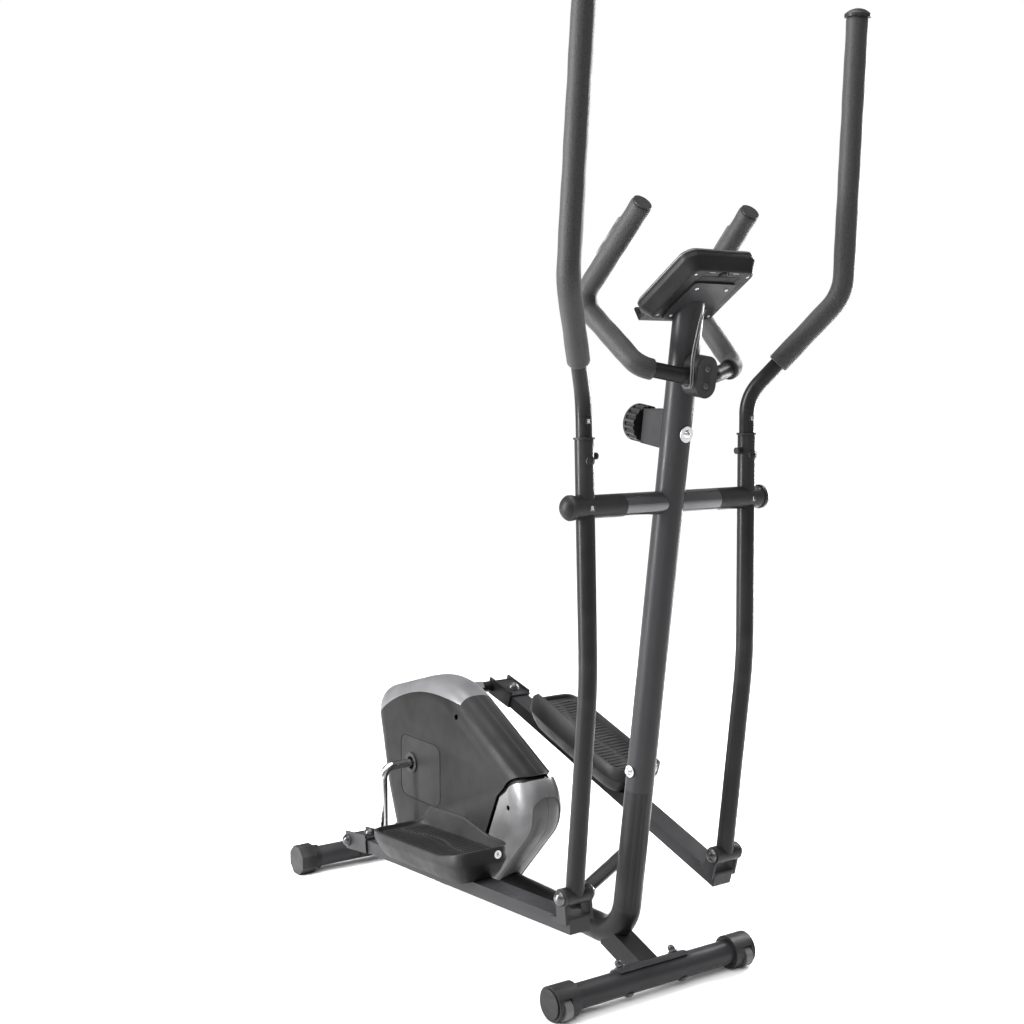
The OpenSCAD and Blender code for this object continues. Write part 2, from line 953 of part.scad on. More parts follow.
module tension_knob() {
    color([0.09, 0.09, 0.10])
        knob_frame()
            translate([0, mast_r + bracket_len - 5.5, 0])
                rotate([-90, 0, 0]) {
                    difference() {
                        cylinder(h = 26, r = knob_d / 2);
                        for (a = [0 : 20 : 340])
                            rotate([0, 0, a])
                                translate([knob_d / 2 + 2, 0, -1])
                                    cylinder(h = 22, r = 4, $fn = 24);
                        translate([0, 0, 23])
                            difference() {
                                cylinder(h = 4, r = knob_d / 2 - 7);
                                translate([0, 0, -1])
                                    cylinder(h = 6, r = knob_d / 2 - 16);
                            }
                    }
                    translate([0, 0, -30])
                        cylinder(h = 31, r = knob_pin);
                }
}

// ---- Console ----

con_r = 22;
module con_outline(inset) {
    rounded_square(con_w - 2 * inset, con_l - 2 * inset, con_r - inset * 0.8);
}

module console_rear() {
    color([0.12, 0.12, 0.13])
        console_frame()
            difference() {
                hull() {
                    translate([0, 0, -8])
                        linear_extrude(8)
                            con_outline(0);
                    translate([0, 0, -con_back])
                        linear_extrude(1)
                            con_outline(12);
                }
                hull() {
                    translate([0, 0, -6])
                        linear_extrude(7)
                            con_outline(2.5);
                    translate([0, 0, -con_back + 2.5])
                        linear_extrude(1)
                            con_outline(14);
                }
            }
}

lens_w = 96;
lens_l = 62;
lens_y = -22;
button_y = 48;
button_r = 7;
button_step = 34;
button_travel = 1.2;
module console_front() {
    color([0.16, 0.16, 0.17])
        console_frame()
            difference() {
                hull() {
                    translate([0, 0, 0.1])
                        linear_extrude(5)
                            con_outline(0);
                    translate([0, 0, 9])
                        linear_extrude(1)
                            con_outline(6);
                }
                translate([0, 0, -1])
                    linear_extrude(8)
                        con_outline(2.5);
                translate([0, lens_y, 0])
                    linear_extrude(30)
                        square([lens_w, lens_l], center = true);
                for (i = [-1, 0, 1])
                    translate([i * button_step, button_y, -5])
                        cylinder(h = 30, r = button_r + 0.35);
            }
}

module console_lens() {
    color([0.25, 0.28, 0.27])
        console_frame()
            translate([0, lens_y, 0]) {
                translate([0, 0, 6])
                    linear_extrude(2.6)
                        square([lens_w - 0.6, lens_l - 0.6], center = true);
                translate([0, 0, 5])
                    linear_extrude(1.95)
                        square([lens_w + 8, lens_l + 8], center = true);
            }
}

module button(i) {
    color([0.5, 0.5, 0.5])
        console_frame()
            translate([i * button_step, button_y, 4]) {
                cylinder(h = 8.2, r = button_r);
                translate([0, 0, -1])
                    cylinder(h = 2, r = button_r + 2.5);
            }
}

module console_bracket() {
    color([0.15, 0.15, 0.16])
        console_frame()
            translate([0, 0, -con_back - bracket_t]) {
                translate([0, 12, 0])
                    linear_extrude(bracket_t - 0.1)
                        rounded_square(84, 96, 6);
            }
}

module device_holder() {
    color([0.13, 0.13, 0.14])
        console_frame()
            translate([0, con_l / 2 + 0.2, 0])
                difference() {
                    translate([-52, 0, -6])
                        cube([104, 20, 22]);
                    translate([-54, 6, 1])
                        cube([108, 9, 30]);
                }
}

// ---- Fixed handlebar ----

grip_tube_r = bar_tube_d / 2;
clamp_reach = mast_r + grip_tube_r + 0.5;
// Height on the mast's own axis that the clamp is square to
clamp_on = clamp_z + clamp_reach * sin(mast_lean);
clamp_y = mast_y(clamp_on) - clamp_reach * cos(mast_lean);
horn_x = 119;
horn = [[horn_x - 18, clamp_y + 24, clamp_z + 14], [horn_x, clamp_y + 147, clamp_z + 118],
    [horn_x - 8, clamp_y + 6, clamp_z + 258]];
function flip(pts) = [for (p = pts) [-p[0], p[1], p[2]]];
function back_to_front(pts) = [for (i = [len(pts) - 1 : -1 : 0]) pts[i]];
// Straight stretch through the clamp
bar_mid = [32, clamp_y, clamp_z];
bar_half = concat([bar_mid], horn);
bar_path = concat(back_to_front(flip(bar_half)), bar_half);
bar_bend = 32;

module handlebar() {
    color([0.10, 0.10, 0.11])
        difference() {
            bent_rod(bar_path, bar_bend, grip_tube_r);
            bent_rod(longer(bar_path, 1), bar_bend, grip_tube_r - wall);
            for (dz = [-clamp_step, clamp_step])
                translate([0, mast_y(clamp_on + dz), clamp_on + dz])
                    rotate([mast_lean, 0, 0])
                        ycyl(clamp_screw + 0.1, -120, 0);
        }
}

// Foam from just inside the lower bend to the end of the horn
foam_path = [horn[0] + 24 * unit(bar_mid - horn[0]), horn[0], horn[1], horn[2]];
module handlebar_grips() {
    color([0.14, 0.14, 0.14])
        for (side = [RIGHT, LEFT])
            mirror([side > 0 ? 0 : 1, 0, 0])
                bent_tube(foam_path, bar_bend, grip_d / 2, grip_tube_r + 0.05);
}

horn_dir = unit(horn[2] - horn[1]);
module pulse_sensors() {
    color([0.75, 0.75, 0.76])
        for (side = [RIGHT, LEFT])
            mirror([side > 0 ? 0 : 1, 0, 0])
                aim(horn[2] - 112 * horn_dir, horn[2] - 40 * horn_dir)
                    difference() {
                        intersection() {
                            cylinder(h = 70, r = grip_d / 2 + 2.2);
                            translate([-30, -13, 0])
                                cube([20, 26, 70]);
                        }
                        translate([0, 0, -1])
                            cylinder(h = 80, r = grip_d / 2 + 0.1);
                    }
}

module handlebar_plugs() {
    color([0.08, 0.08, 0.08])
        for (side = [RIGHT, LEFT])
            mirror([side > 0 ? 0 : 1, 0, 0])
                aim(horn[2], horn[2] + horn_dir) {
                    translate([0, 0, 0.1])
                        cylinder(h = 2.5, r = grip_d / 2 - 1.5);
                    translate([0, 0, -15])
                        cylinder(h = 15.5, r = grip_tube_r - wall - 0.1);
                }
}

module clamp_cover() {
    color([0.13, 0.13, 0.14])
        translate([0, mast_y(clamp_on), clamp_on])
            rotate([mast_lean, 0, 0])
                difference() {
                    translate([0, -mast_r - bar_tube_d - 9, 0])
                        rotate([-90, 0, 0])
                            linear_extrude(bar_tube_d + 9)
                                hull()
                                    for (s = [-1, 1])
                                        translate([0, s * clamp_step])
                                            circle(r = 20, $fn = 48);
                    translate([0, 0, -80])
                        cylinder(h = 160, r = mast_r + 0.2);
                    // Channel for the handlebar
                    translate([0, -clamp_reach, 0])
                        xcyl(grip_tube_r + 0.3, -60, 60);
                    translate([-60, -clamp_reach, -grip_tube_r - 0.3])
                        cube([120, 40, bar_tube_d + 0.6]);
                    for (dz = [-clamp_step, clamp_step])
                        translate([0, 0, dz]) {
                            ycyl(clamp_screw + 0.2, -120, 0);
                            ycyl(5.5, -120, -mast_r - bar_tube_d - 3.9);
                        }
                }
}

// Two pulse leads from the handlebar's underside, up past the clamp to the console
wire_r = 1.3;
wire_a = [[-35, clamp_y - 2, clamp_z - 14.5], [-34, clamp_y - 10, clamp_z - 19],
    [-32, clamp_y - 17, clamp_z - 16], [-30, clamp_y - 17, clamp_z], [-28, clamp_y - 17, clamp_z + 28],
    [-21, clamp_y - 18, clamp_z + 60], [-15, clamp_y - 19, clamp_z + 84], [-10, clamp_y - 20, clamp_z + 101]];
wire_b = [for (p = wire_a) p + [4, -0.6, 0]];

// Point on a smooth curve through the wire's points
function smooth(p, t) =
    let (n = len(p) - 1, i = min(floor(t), n - 1), f = t - i,
        a = p[max(i - 1, 0)], b = p[i], c = p[i + 1], d = p[min(i + 2, n)])
    0.5 * (2 * b + (c - a) * f + (2 * a - 5 * b + 4 * c - d) * f * f
        + (3 * b - a - 3 * c + d) * f * f * f);

module wire(p) {
    n = 4 * (len(p) - 1);
    c = [for (k = [0 : n]) smooth(p, k / 4)];
    rings = [for (k = [0 : n])
        let (t = unit(c[min(k + 1, n)] - c[max(k - 1, 0)]), s = unit(cross(t, [1, 0.2, 0])),
            q = cross(t, s))
        for (a = [0 : 45 : 315]) c[k] + wire_r * (cos(a) * s + sin(a) * q)];
    sides = [for (k = [0 : n - 1], a = [0 : 7])
        [8 * k + a, 8 * k + (a + 1) % 8, 8 * k + 8 + (a + 1) % 8, 8 * k + 8 + a]];
    polyhedron(rings, concat([[for (a = [7 : -1 : 0]) a]], sides,
        [[for (a = [0 : 7]) 8 * n + a]]), convexity = 4);
}

module pulse_wires() {
    color([0.6, 0.6, 0.6]) {
        wire(wire_a);
        wire(wire_b);
    }
}

// ---- Swing arms, drawn hanging straight down, for the left side ----

// Lower arm: gently bent forwards between the axle and the lower pivot
arm_bulge = 20;
arm_bend_z = 275;
arm_up = 104;
arm_kick = arm_bulge / arm_bend_z;
arm_R = 700;
bush_half = 21.7;
pivot_d = 12;

module arm_place(side) {
    translate([0, 0, axle_z])
        rotate([arm_angle(side), 0, 0])
            mirror([side > 0 ? 0 : 1, 0, 0])
                children();
}

arm_pts = [[arm_x, arm_up * arm_kick, arm_up], [arm_x, -arm_bulge, -arm_bend_z], [arm_x, 0, -arm_len]];
module lower_arm(side) {
    color([0.10, 0.10, 0.11])
        arm_place(side)
            difference() {
                union() {
                    bent_rod(arm_pts, arm_R, arm_d / 2);
                    xcyl(sleeve_d / 2, arm_in + gap, sleeve_out);
                    translate([0, 0, -arm_len])
                        xcyl(arm_d / 2, arm_x - bush_half, arm_x + bush_half);
                }
                // Hollow inside, open at the top where the handle goes in
                bent_rod(longer(arm_pts, -24), arm_R, arm_d / 2 - 2.6);
                rod([arm_x, 22 * arm_kick, 22], [arm_x, (arm_up + 1) * arm_kick, arm_up + 1],
                    handle_d / 2 + 0.1);
                xcyl(axle_d / 2 + run_fit, arm_in - 1, sleeve_out + 1);
                translate([0, 0, -arm_len])
                    xcyl(pivot_d / 2 + run_fit, arm_x - 60, arm_x + 60);
            }
}

handle_pts = [[arm_x, 26 * arm_kick, 26], [arm_x, 168 * arm_kick, 168],
    [arm_x + handle_out, handle_y, 340], [arm_x + handle_out - 14, handle_y - 4, handle_top]];
handle_bend = 75;
module upper_handle(side) {
    color([0.10, 0.10, 0.11])
        arm_place(side)
            bent_tube(handle_pts, handle_bend, handle_d / 2, handle_d / 2 - wall);
}

foam_start = handle_pts[1] + (handle_pts[2] - handle_pts[1]) * 0.32;
foam_pts = [foam_start, handle_pts[2], handle_pts[3]];
module handle_foam(side) {
    color([0.14, 0.14, 0.14])
        arm_place(side)
            bent_tube(foam_pts, handle_bend, foam_d / 2, handle_d / 2 + 0.05);
}

// Collar at the tube joint, mushroom cap, joint bolt and clamp screw
module arm_fittings(side) {
    top_dir = unit(handle_pts[3] - handle_pts[2]);
    color([0.09, 0.09, 0.10])
        arm_place(side) {
            difference() {
                aim([arm_x, arm_up * arm_kick, arm_up], [arm_x, (arm_up + 1) * arm_kick, arm_up + 1]) {
                    translate([0, 0, 0.1])
                        cylinder(h = 3, r = arm_d / 2 + 2);
                }
                rod([arm_x, 22 * arm_kick, 22], [arm_x, 130 * arm_kick, 130], handle_d / 2 + 0.1);
            }
            aim(handle_pts[3], handle_pts[3] + top_dir) {
                translate([0, 0, 0.1])
                    cylinder(h = 5, r = foam_d / 2 + 3);
                translate([0, 0, 5.1])
                    dome(foam_d / 2 + 3, 9);
                translate([0, 0, -20])
                    cylinder(h = 21, r = handle_d / 2 - wall - 0.1);
            }
            // Joint bolt from the front, and a small screw knob on the inner side
            difference() {
                union() {
                    translate([arm_x, 72 * arm_kick, 72])
                        rotate([90, 0, 0])
                            translate([0, 0, arm_d / 2 - 2]) {
                                cylinder(h = 3.5, r = 7.5);
                                translate([0, 0, 3.5])
                                    dome(6, 4);
                            }
                    translate([arm_x, 78 * arm_kick, 78])
                        rotate([0, -90, 0])
                            translate([0, 0, arm_d / 2 - 1]) {
                                cylinder(h = 6, r = 4);
                                translate([0, 0, 6])
                                    cylinder(h = 4, r = 5.5);
                            }
                }
                rod([arm_x, 20 * arm_kick, 20], [arm_x, 120 * arm_kick, 120], arm_d / 2 + 0.02);
            }
        }
}

// ---- Pedal bars, drawn along +Y from the front pivot, for the left side ----

bar_drop = 46;
bar_front = -9;
bar_rear = bar_len - 18;
bar_slope = atan2(bar_drop, bar_len);
clevis_x = bush_half + 0.6;
ear_t = 5;
bolt_y = bar_len - 43;

module bar_place(side) {
    p = low_pivot(side);
    translate([0, p[0], p[1]])
        rotate([bar_angle(side), 0, 0])
            mirror([side > 0 ? 0 : 1, 0, 0])
                children();
}

// Frame with its origin under the front pivot, on the middle of the bar
module bar_axis() {
    translate([arm_x, 0, -bar_drop])
        rotate([bar_slope, 0, 0])
            children();
}

module pedal_bar(side) {
    color([0.11, 0.11, 0.12])
        bar_place(side)
            difference() {
                union() {
                    bar_axis()
                        translate([-bar_w / 2, bar_front, -bar_h / 2])
                            cube([bar_w, bar_rear - bar_front, bar_h]);
                    clevis();
                }
                bar_axis()
                    translate([-bar_w / 2 + wall, bar_front + 12, -bar_h / 2 + wall])
                        cube([bar_w - 2 * wall, bar_rear, bar_h - 2 * wall]);
                xcyl(pivot_d / 2, arm_x - 60, arm_x + 60);
                bar_axis()
                    translate([0, bolt_y, -40])
                        cylinder(h = 80, r = 4.2);
            }
}

// Two ears on the bar's front end, either side of the arm's foot
module clevis() {
    for (s = [-1, 1]) {
        x0 = arm_x + (s > 0 ? clevis_x : -clevis_x - ear_t);
        xcyl(15, x0, x0 + ear_t);
        translate([x0, -9, -bar_drop + 4])
            cube([ear_t, 24, bar_drop - 4]);
    }
    translate([arm_x - clevis_x - ear_t, -9, -bar_drop + bar_h / 2 - 6])
        cube([2 * clevis_x + 2 * ear_t, 40, 8]);
}

plate_y = 250;
plate_x = 5;
tread_z = plate_h - 20;
module plate_outline(inset) {
    translate([plate_x, plate_y + plate_l / 2])
        rounded_square(plate_w - 2 * inset, plate_l - 2 * inset, 26 - inset / 2);
}

module foot_plate(side) {
    color([0.13, 0.13, 0.14])
        bar_place(side)
            bar_axis()
                translate([0, 0, bar_h / 2 + 0.1])
                    difference() {
                        union() {
                            hull() {
                                linear_extrude(0.1)
                                    translate([0, plate_y + plate_l / 2])
                                        square([bar_w + 8, plate_l - 60], center = true);
                                translate([0, 0, plate_h - 30])
                                    linear_extrude(30)
                                        plate_outline(0);
                            }
                            inner_guard();
                        }
                        translate([0, 0, tread_z])
                            linear_extrude(80)
                                plate_outline(7);
                        for (i = [0 : 17])
                            translate([plate_x - plate_w / 2 + 16, plate_y + 24 + i * 14.6, tread_z - 2])
                                cube([plate_w - 32, 7, 5]);
                    }
}

// Raised guard along the edge beside the housing
module inner_guard() {
    difference() {
        hull() {
            translate([plate_x - plate_w / 2, plate_y + 14, tread_z])
                cube([7, plate_l - 44, 20]);
            translate([plate_x - plate_w / 2, plate_y + 150, tread_z])
                cube([7, plate_l - 184, 38]);
        }
        translate([-200, 0, -100])
            cube([400, 10, 10]);
    }
}

// Folded bracket over the bar's rear end, with the crank sleeve across it
sleeve_in = rod_x + eye_half + 2.5 + gap + 0.2;
module rear_bracket(side) {
    color([0.12, 0.12, 0.13])
        bar_place(side)
            difference() {
                union() {
                    translate([0, bar_len, 0])
                        xcyl(11, sleeve_in, arm_x + bar_w / 2 + 4.2);
                    for (s = [-1, 1])
                        translate([arm_x + s * (bar_w / 2 + 2.2) - 2, bar_len - 70, -17])
                            cube([4, 78, 34]);
                    bar_axis()
                        translate([-bar_w / 2 - 4.2, bar_rear - 52, bar_h / 2 + 0.1])
                            cube([bar_w + 8.4, 60, 4]);
                }
                translate([0, bar_len, 0])
                    xcyl(5, sleeve_in + 1, arm_x + 60);
                bar_axis()
                    translate([0, bolt_y, -40])
                        cylinder(h = 80, r = 4.2);
            }
}

module pedal_bolts(side) {
    color([0.12, 0.12, 0.12])
        bar_place(side) {
            // Front pivot bolt with a domed cap at each end
            xcyl(pivot_d / 2, arm_x - clevis_x - ear_t - 3, arm_x + clevis_x + ear_t + 3);
            for (s = [-1, 1])
                translate([arm_x, 0, 0])
                    mirror([s > 0 ? 0 : 1, 0, 0])
                        translate([clevis_x + ear_t + 0.1, 0, 0])
                            rotate([0, 90, 0]) {
                                cylinder(h = 3, r = 12);
                                translate([0, 0, 3])
                                    dome(12, 8);
                            }
            // Bolt through the rear bracket and the bar
            bar_axis()
                translate([0, bolt_y, 0]) {
                    translate([0, 0, -bar_h / 2 - 10])
                        cylinder(h = bar_h + 20, r = 4);
                    translate([0, 0, bar_h / 2 + 4.2]) {
                        cylinder(h = 3, r = 12);
                        translate([0, 0, 3])
                            dome(11, 9);
                    }
                    translate([0, 0, -bar_h / 2 - 8])
                        cylinder(h = 7.9, r = 7.5, $fn = 6);
                }
            // Outer cap on the crank sleeve
            translate([arm_x + bar_w / 2 + 4.3, bar_len, 0])
                rotate([0, 90, 0]) {
                    cylinder(h = 3, r = 11.5);
                    translate([0, 0, 3])
                        dome(11, 8);
                }
        }
}

place() main_frame();
place() front_stabilizer();
place() front_caps();
place() rear_stabilizer();
place() rear_caps();
place() stabilizer_bolts();
place() mast();
place() mast_bolts();
place() crossbar();
place() arm_axle();
place() axle_caps();
place() housing_right();
place() housing_left();
place() top_cover();
place() front_cover();
place() bottom_cover();
place() housing_screws();
place() crank_rings();
place() crank_bearings();
place() knob_bracket();
place() flywheel_axle();
place() drive_belt();
place() console_rear();
place() console_front();
place() console_lens();
place() console_bracket();
place() device_holder();
place() handlebar();
place() handlebar_grips();
place() pulse_sensors();
place() handlebar_plugs();
place() clamp_cover();
place() pulse_wires();
place() transport_wheel(RIGHT);  // transport_wheel_right
place() transport_wheel(LEFT);  // transport_wheel_left
place() tension_knob();
place() magnet_bracket();
place() flywheel();
place() button(1);  // button_left
place() button(0);  // button_middle
place() button(-1);  // button_right
place() crank();
place() drive_pulley();
place() crank_caps();
place() lower_arm(RIGHT);  // lower_arm_right
place() lower_arm(LEFT);  // lower_arm_left
place() upper_handle(RIGHT);  // upper_handle_right
place() upper_handle(LEFT);  // upper_handle_left
place() handle_foam(RIGHT);  // handle_foam_right
place() handle_foam(LEFT);  // handle_foam_left
place() arm_fittings(RIGHT);  // arm_fittings_right
place() arm_fittings(LEFT);  // arm_fittings_left
place() pedal_bar(RIGHT);  // pedal_bar_right
place() pedal_bar(LEFT);  // pedal_bar_left
place() foot_plate(RIGHT);  // foot_plate_right
place() foot_plate(LEFT);  // foot_plate_left
place() rear_bracket(RIGHT);  // rear_bracket_right
place() rear_bracket(LEFT);  // rear_bracket_left
place() pedal_bolts(RIGHT);  // pedal_bolts_right
place() pedal_bolts(LEFT);  // pedal_bolts_left
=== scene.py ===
"""Looks of the elliptical trainer: materials for the CAD parts and detailed pieces over them."""
import json
import math

import bmesh
import bpy
from mathutils import Matrix, Vector


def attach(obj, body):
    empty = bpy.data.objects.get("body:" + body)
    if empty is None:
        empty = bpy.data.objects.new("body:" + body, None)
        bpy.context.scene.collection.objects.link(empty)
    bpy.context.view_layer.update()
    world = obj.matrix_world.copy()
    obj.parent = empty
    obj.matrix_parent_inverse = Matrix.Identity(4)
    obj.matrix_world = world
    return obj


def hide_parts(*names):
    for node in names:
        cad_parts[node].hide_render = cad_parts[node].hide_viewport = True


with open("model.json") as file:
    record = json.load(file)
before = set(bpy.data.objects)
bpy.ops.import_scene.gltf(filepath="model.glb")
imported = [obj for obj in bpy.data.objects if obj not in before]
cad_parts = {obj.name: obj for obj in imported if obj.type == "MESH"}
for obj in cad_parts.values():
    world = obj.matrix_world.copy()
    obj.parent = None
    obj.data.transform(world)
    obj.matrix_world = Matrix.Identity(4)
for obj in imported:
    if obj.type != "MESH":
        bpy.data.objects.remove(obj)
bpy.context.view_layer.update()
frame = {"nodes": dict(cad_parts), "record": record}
JOINTS = {j["name"]: j for j in frame["record"]["behaviour"]["joints"]}
NODES = frame["nodes"]
MM = 0.001


def joint_pos(name):
    return Vector(JOINTS[name]["pos_m"])


AXLE = joint_pos("right_arm_swing")
CRANK = joint_pos("crank_turn")
ARM_X = 170 * MM
HANDLE_R, FOAM_R, GRIP_R, TUBE_R = 12.7 * MM, 18 * MM, 17 * MM, 12.5 * MM


# ---------------------------------------------------------------- materials
def nodes_of(name):
    mat = bpy.data.materials.new(name)
    mat.use_nodes = True
    tree = mat.node_tree
    bsdf = tree.nodes["Principled BSDF"]
    coord = tree.nodes.new("ShaderNodeTexCoord")
    return mat, tree, bsdf, coord


def noise_node(tree, coord, scale, detail=3.0, stretch=None):
    tex = tree.nodes.new("ShaderNodeTexNoise")
    tex.inputs["Scale"].default_value = scale
    tex.inputs["Detail"].default_value = detail
    if stretch:
        mapping = tree.nodes.new("ShaderNodeMapping")
        mapping.inputs["Scale"].default_value = stretch
        tree.links.new(coord.outputs["Object"], mapping.inputs["Vector"])
        tree.links.new(mapping.outputs["Vector"], tex.inputs["Vector"])
    else:
        tree.links.new(coord.outputs["Object"], tex.inputs["Vector"])
    return tex


def spread(tree, source, low, high, from_low=0.35, from_high=0.65):
    ramp = tree.nodes.new("ShaderNodeMapRange")
    ramp.inputs["From Min"].default_value = from_low
    ramp.inputs["From Max"].default_value = from_high
    ramp.inputs["To Min"].default_value = low
    ramp.inputs["To Max"].default_value = high
    tree.links.new(source, ramp.inputs["Value"])
    return ramp.outputs["Result"]


def surface(name, dark, light, rough, metal=0.0, grain=900.0, bump=0.1, depth=0.0004,
            spec=0.5, stretch=None, wear=None, coat=0.0, sheen=0.0, round_edges=0.0006):
    """Two close tones mottled together, uneven roughness, a fine grain, and worn edges."""
    mat, tree, bsdf, coord = nodes_of(name)
    wide = noise_node(tree, coord, 14.0, 4.0)
    mix = tree.nodes.new("ShaderNodeMix")
    mix.data_type = "RGBA"
    mix.inputs["A"].default_value = (*dark, 1)
    mix.inputs["B"].default_value = (*light, 1)
    tree.links.new(spread(tree, wide.outputs["Fac"], 0, 1), mix.inputs["Factor"])
    colour = mix.outputs["Result"]
    if wear:
        geo = tree.nodes.new("ShaderNodeNewGeometry")
        edge = spread(tree, geo.outputs["Pointiness"], 0, 0.6, 0.52, 0.60)
        worn = tree.nodes.new("ShaderNodeMix")
        worn.data_type = "RGBA"
        worn.inputs["B"].default_value = (*wear, 1)
        tree.links.new(colour, worn.inputs["A"])
        tree.links.new(edge, worn.inputs["Factor"])
        colour = worn.outputs["Result"]
    tree.links.new(colour, bsdf.inputs["Base Color"])
    patches = noise_node(tree, coord, 38.0, 3.0)
    tree.links.new(spread(tree, patches.outputs["Fac"], rough - 0.05, rough + 0.06),
                   bsdf.inputs["Roughness"])
    fine = noise_node(tree, coord, grain, 2.0, stretch)
    relief = tree.nodes.new("ShaderNodeBump")
    relief.inputs["Strength"].default_value = bump
    relief.inputs["Distance"].default_value = depth
    tree.links.new(fine.outputs["Fac"], relief.inputs["Height"])
    if round_edges:
        soft = tree.nodes.new("ShaderNodeBevel")
        soft.samples = 4
        soft.inputs["Radius"].default_value = round_edges
        tree.links.new(soft.outputs["Normal"], relief.inputs["Normal"])
    tree.links.new(relief.outputs["Normal"], bsdf.inputs["Normal"])
    bsdf.inputs["Metallic"].default_value = metal
    bsdf.inputs["Specular IOR Level"].default_value = spec
    bsdf.inputs["Coat Weight"].default_value = coat
    bsdf.inputs["Coat Roughness"].default_value = 0.25
    bsdf.inputs["Sheen Weight"].default_value = sheen
    return mat


def foam_surface():
    """Closed-cell foam: dark, with fine pores and a soft sheen."""
    mat, tree, bsdf, coord = nodes_of("foam_rubber")
    cells = tree.nodes.new("ShaderNodeTexVoronoi")
    cells.inputs["Scale"].default_value = 520.0
    tree.links.new(coord.outputs["Object"], cells.inputs["Vector"])
    mix = tree.nodes.new("ShaderNodeMix")
    mix.data_type = "RGBA"
    mix.inputs["A"].default_value = (0.011, 0.011, 0.0115, 1)
    mix.inputs["B"].default_value = (0.026, 0.026, 0.027, 1)
    tree.links.new(spread(tree, cells.outputs["Distance"], 1, 0, 0.0, 0.7), mix.inputs["Factor"])
    tree.links.new(mix.outputs["Result"], bsdf.inputs["Base Color"])
    grain = noise_node(tree, coord, 700.0, 3.0)
    add = tree.nodes.new("ShaderNodeMath")
    tree.links.new(cells.outputs["Distance"], add.inputs[0])
    tree.links.new(grain.outputs["Fac"], add.inputs[1])
    relief = tree.nodes.new("ShaderNodeBump")
    relief.inputs["Strength"].default_value = 0.45
    relief.inputs["Distance"].default_value = 0.0006
    tree.links.new(add.outputs["Value"], relief.inputs["Height"])
    tree.links.new(relief.outputs["Normal"], bsdf.inputs["Normal"])
    tree.links.new(spread(tree, grain.outputs["Fac"], 0.50, 0.66), bsdf.inputs["Roughness"])
    bsdf.inputs["Sheen Weight"].default_value = 0.12
    bsdf.inputs["Sheen Roughness"].default_value = 0.5
    bsdf.inputs["Specular IOR Level"].default_value = 0.28
    return mat


def turned_iron():
    mat, tree, bsdf, coord = nodes_of("turned_iron")
    rings = tree.nodes.new("ShaderNodeTexWave")
    rings.wave_type = "RINGS"
    rings.rings_direction = "X"
    rings.inputs["Scale"].default_value = 300.0
    rings.inputs["Distortion"].default_value = 0.4
    tree.links.new(coord.outputs["Object"], rings.inputs["Vector"])
    mix = tree.nodes.new("ShaderNodeMix")
    mix.data_type = "RGBA"
    mix.inputs["A"].default_value = (0.26, 0.26, 0.27, 1)
    mix.inputs["B"].default_value = (0.42, 0.42, 0.43, 1)
    tree.links.new(rings.outputs["Fac"], mix.inputs["Factor"])
    tree.links.new(mix.outputs["Result"], bsdf.inputs["Base Color"])
    tree.links.new(spread(tree, rings.outputs["Fac"], 0.35, 0.5, 0, 1), bsdf.inputs["Roughness"])
    bsdf.inputs["Metallic"].default_value = 0.9
    return mat


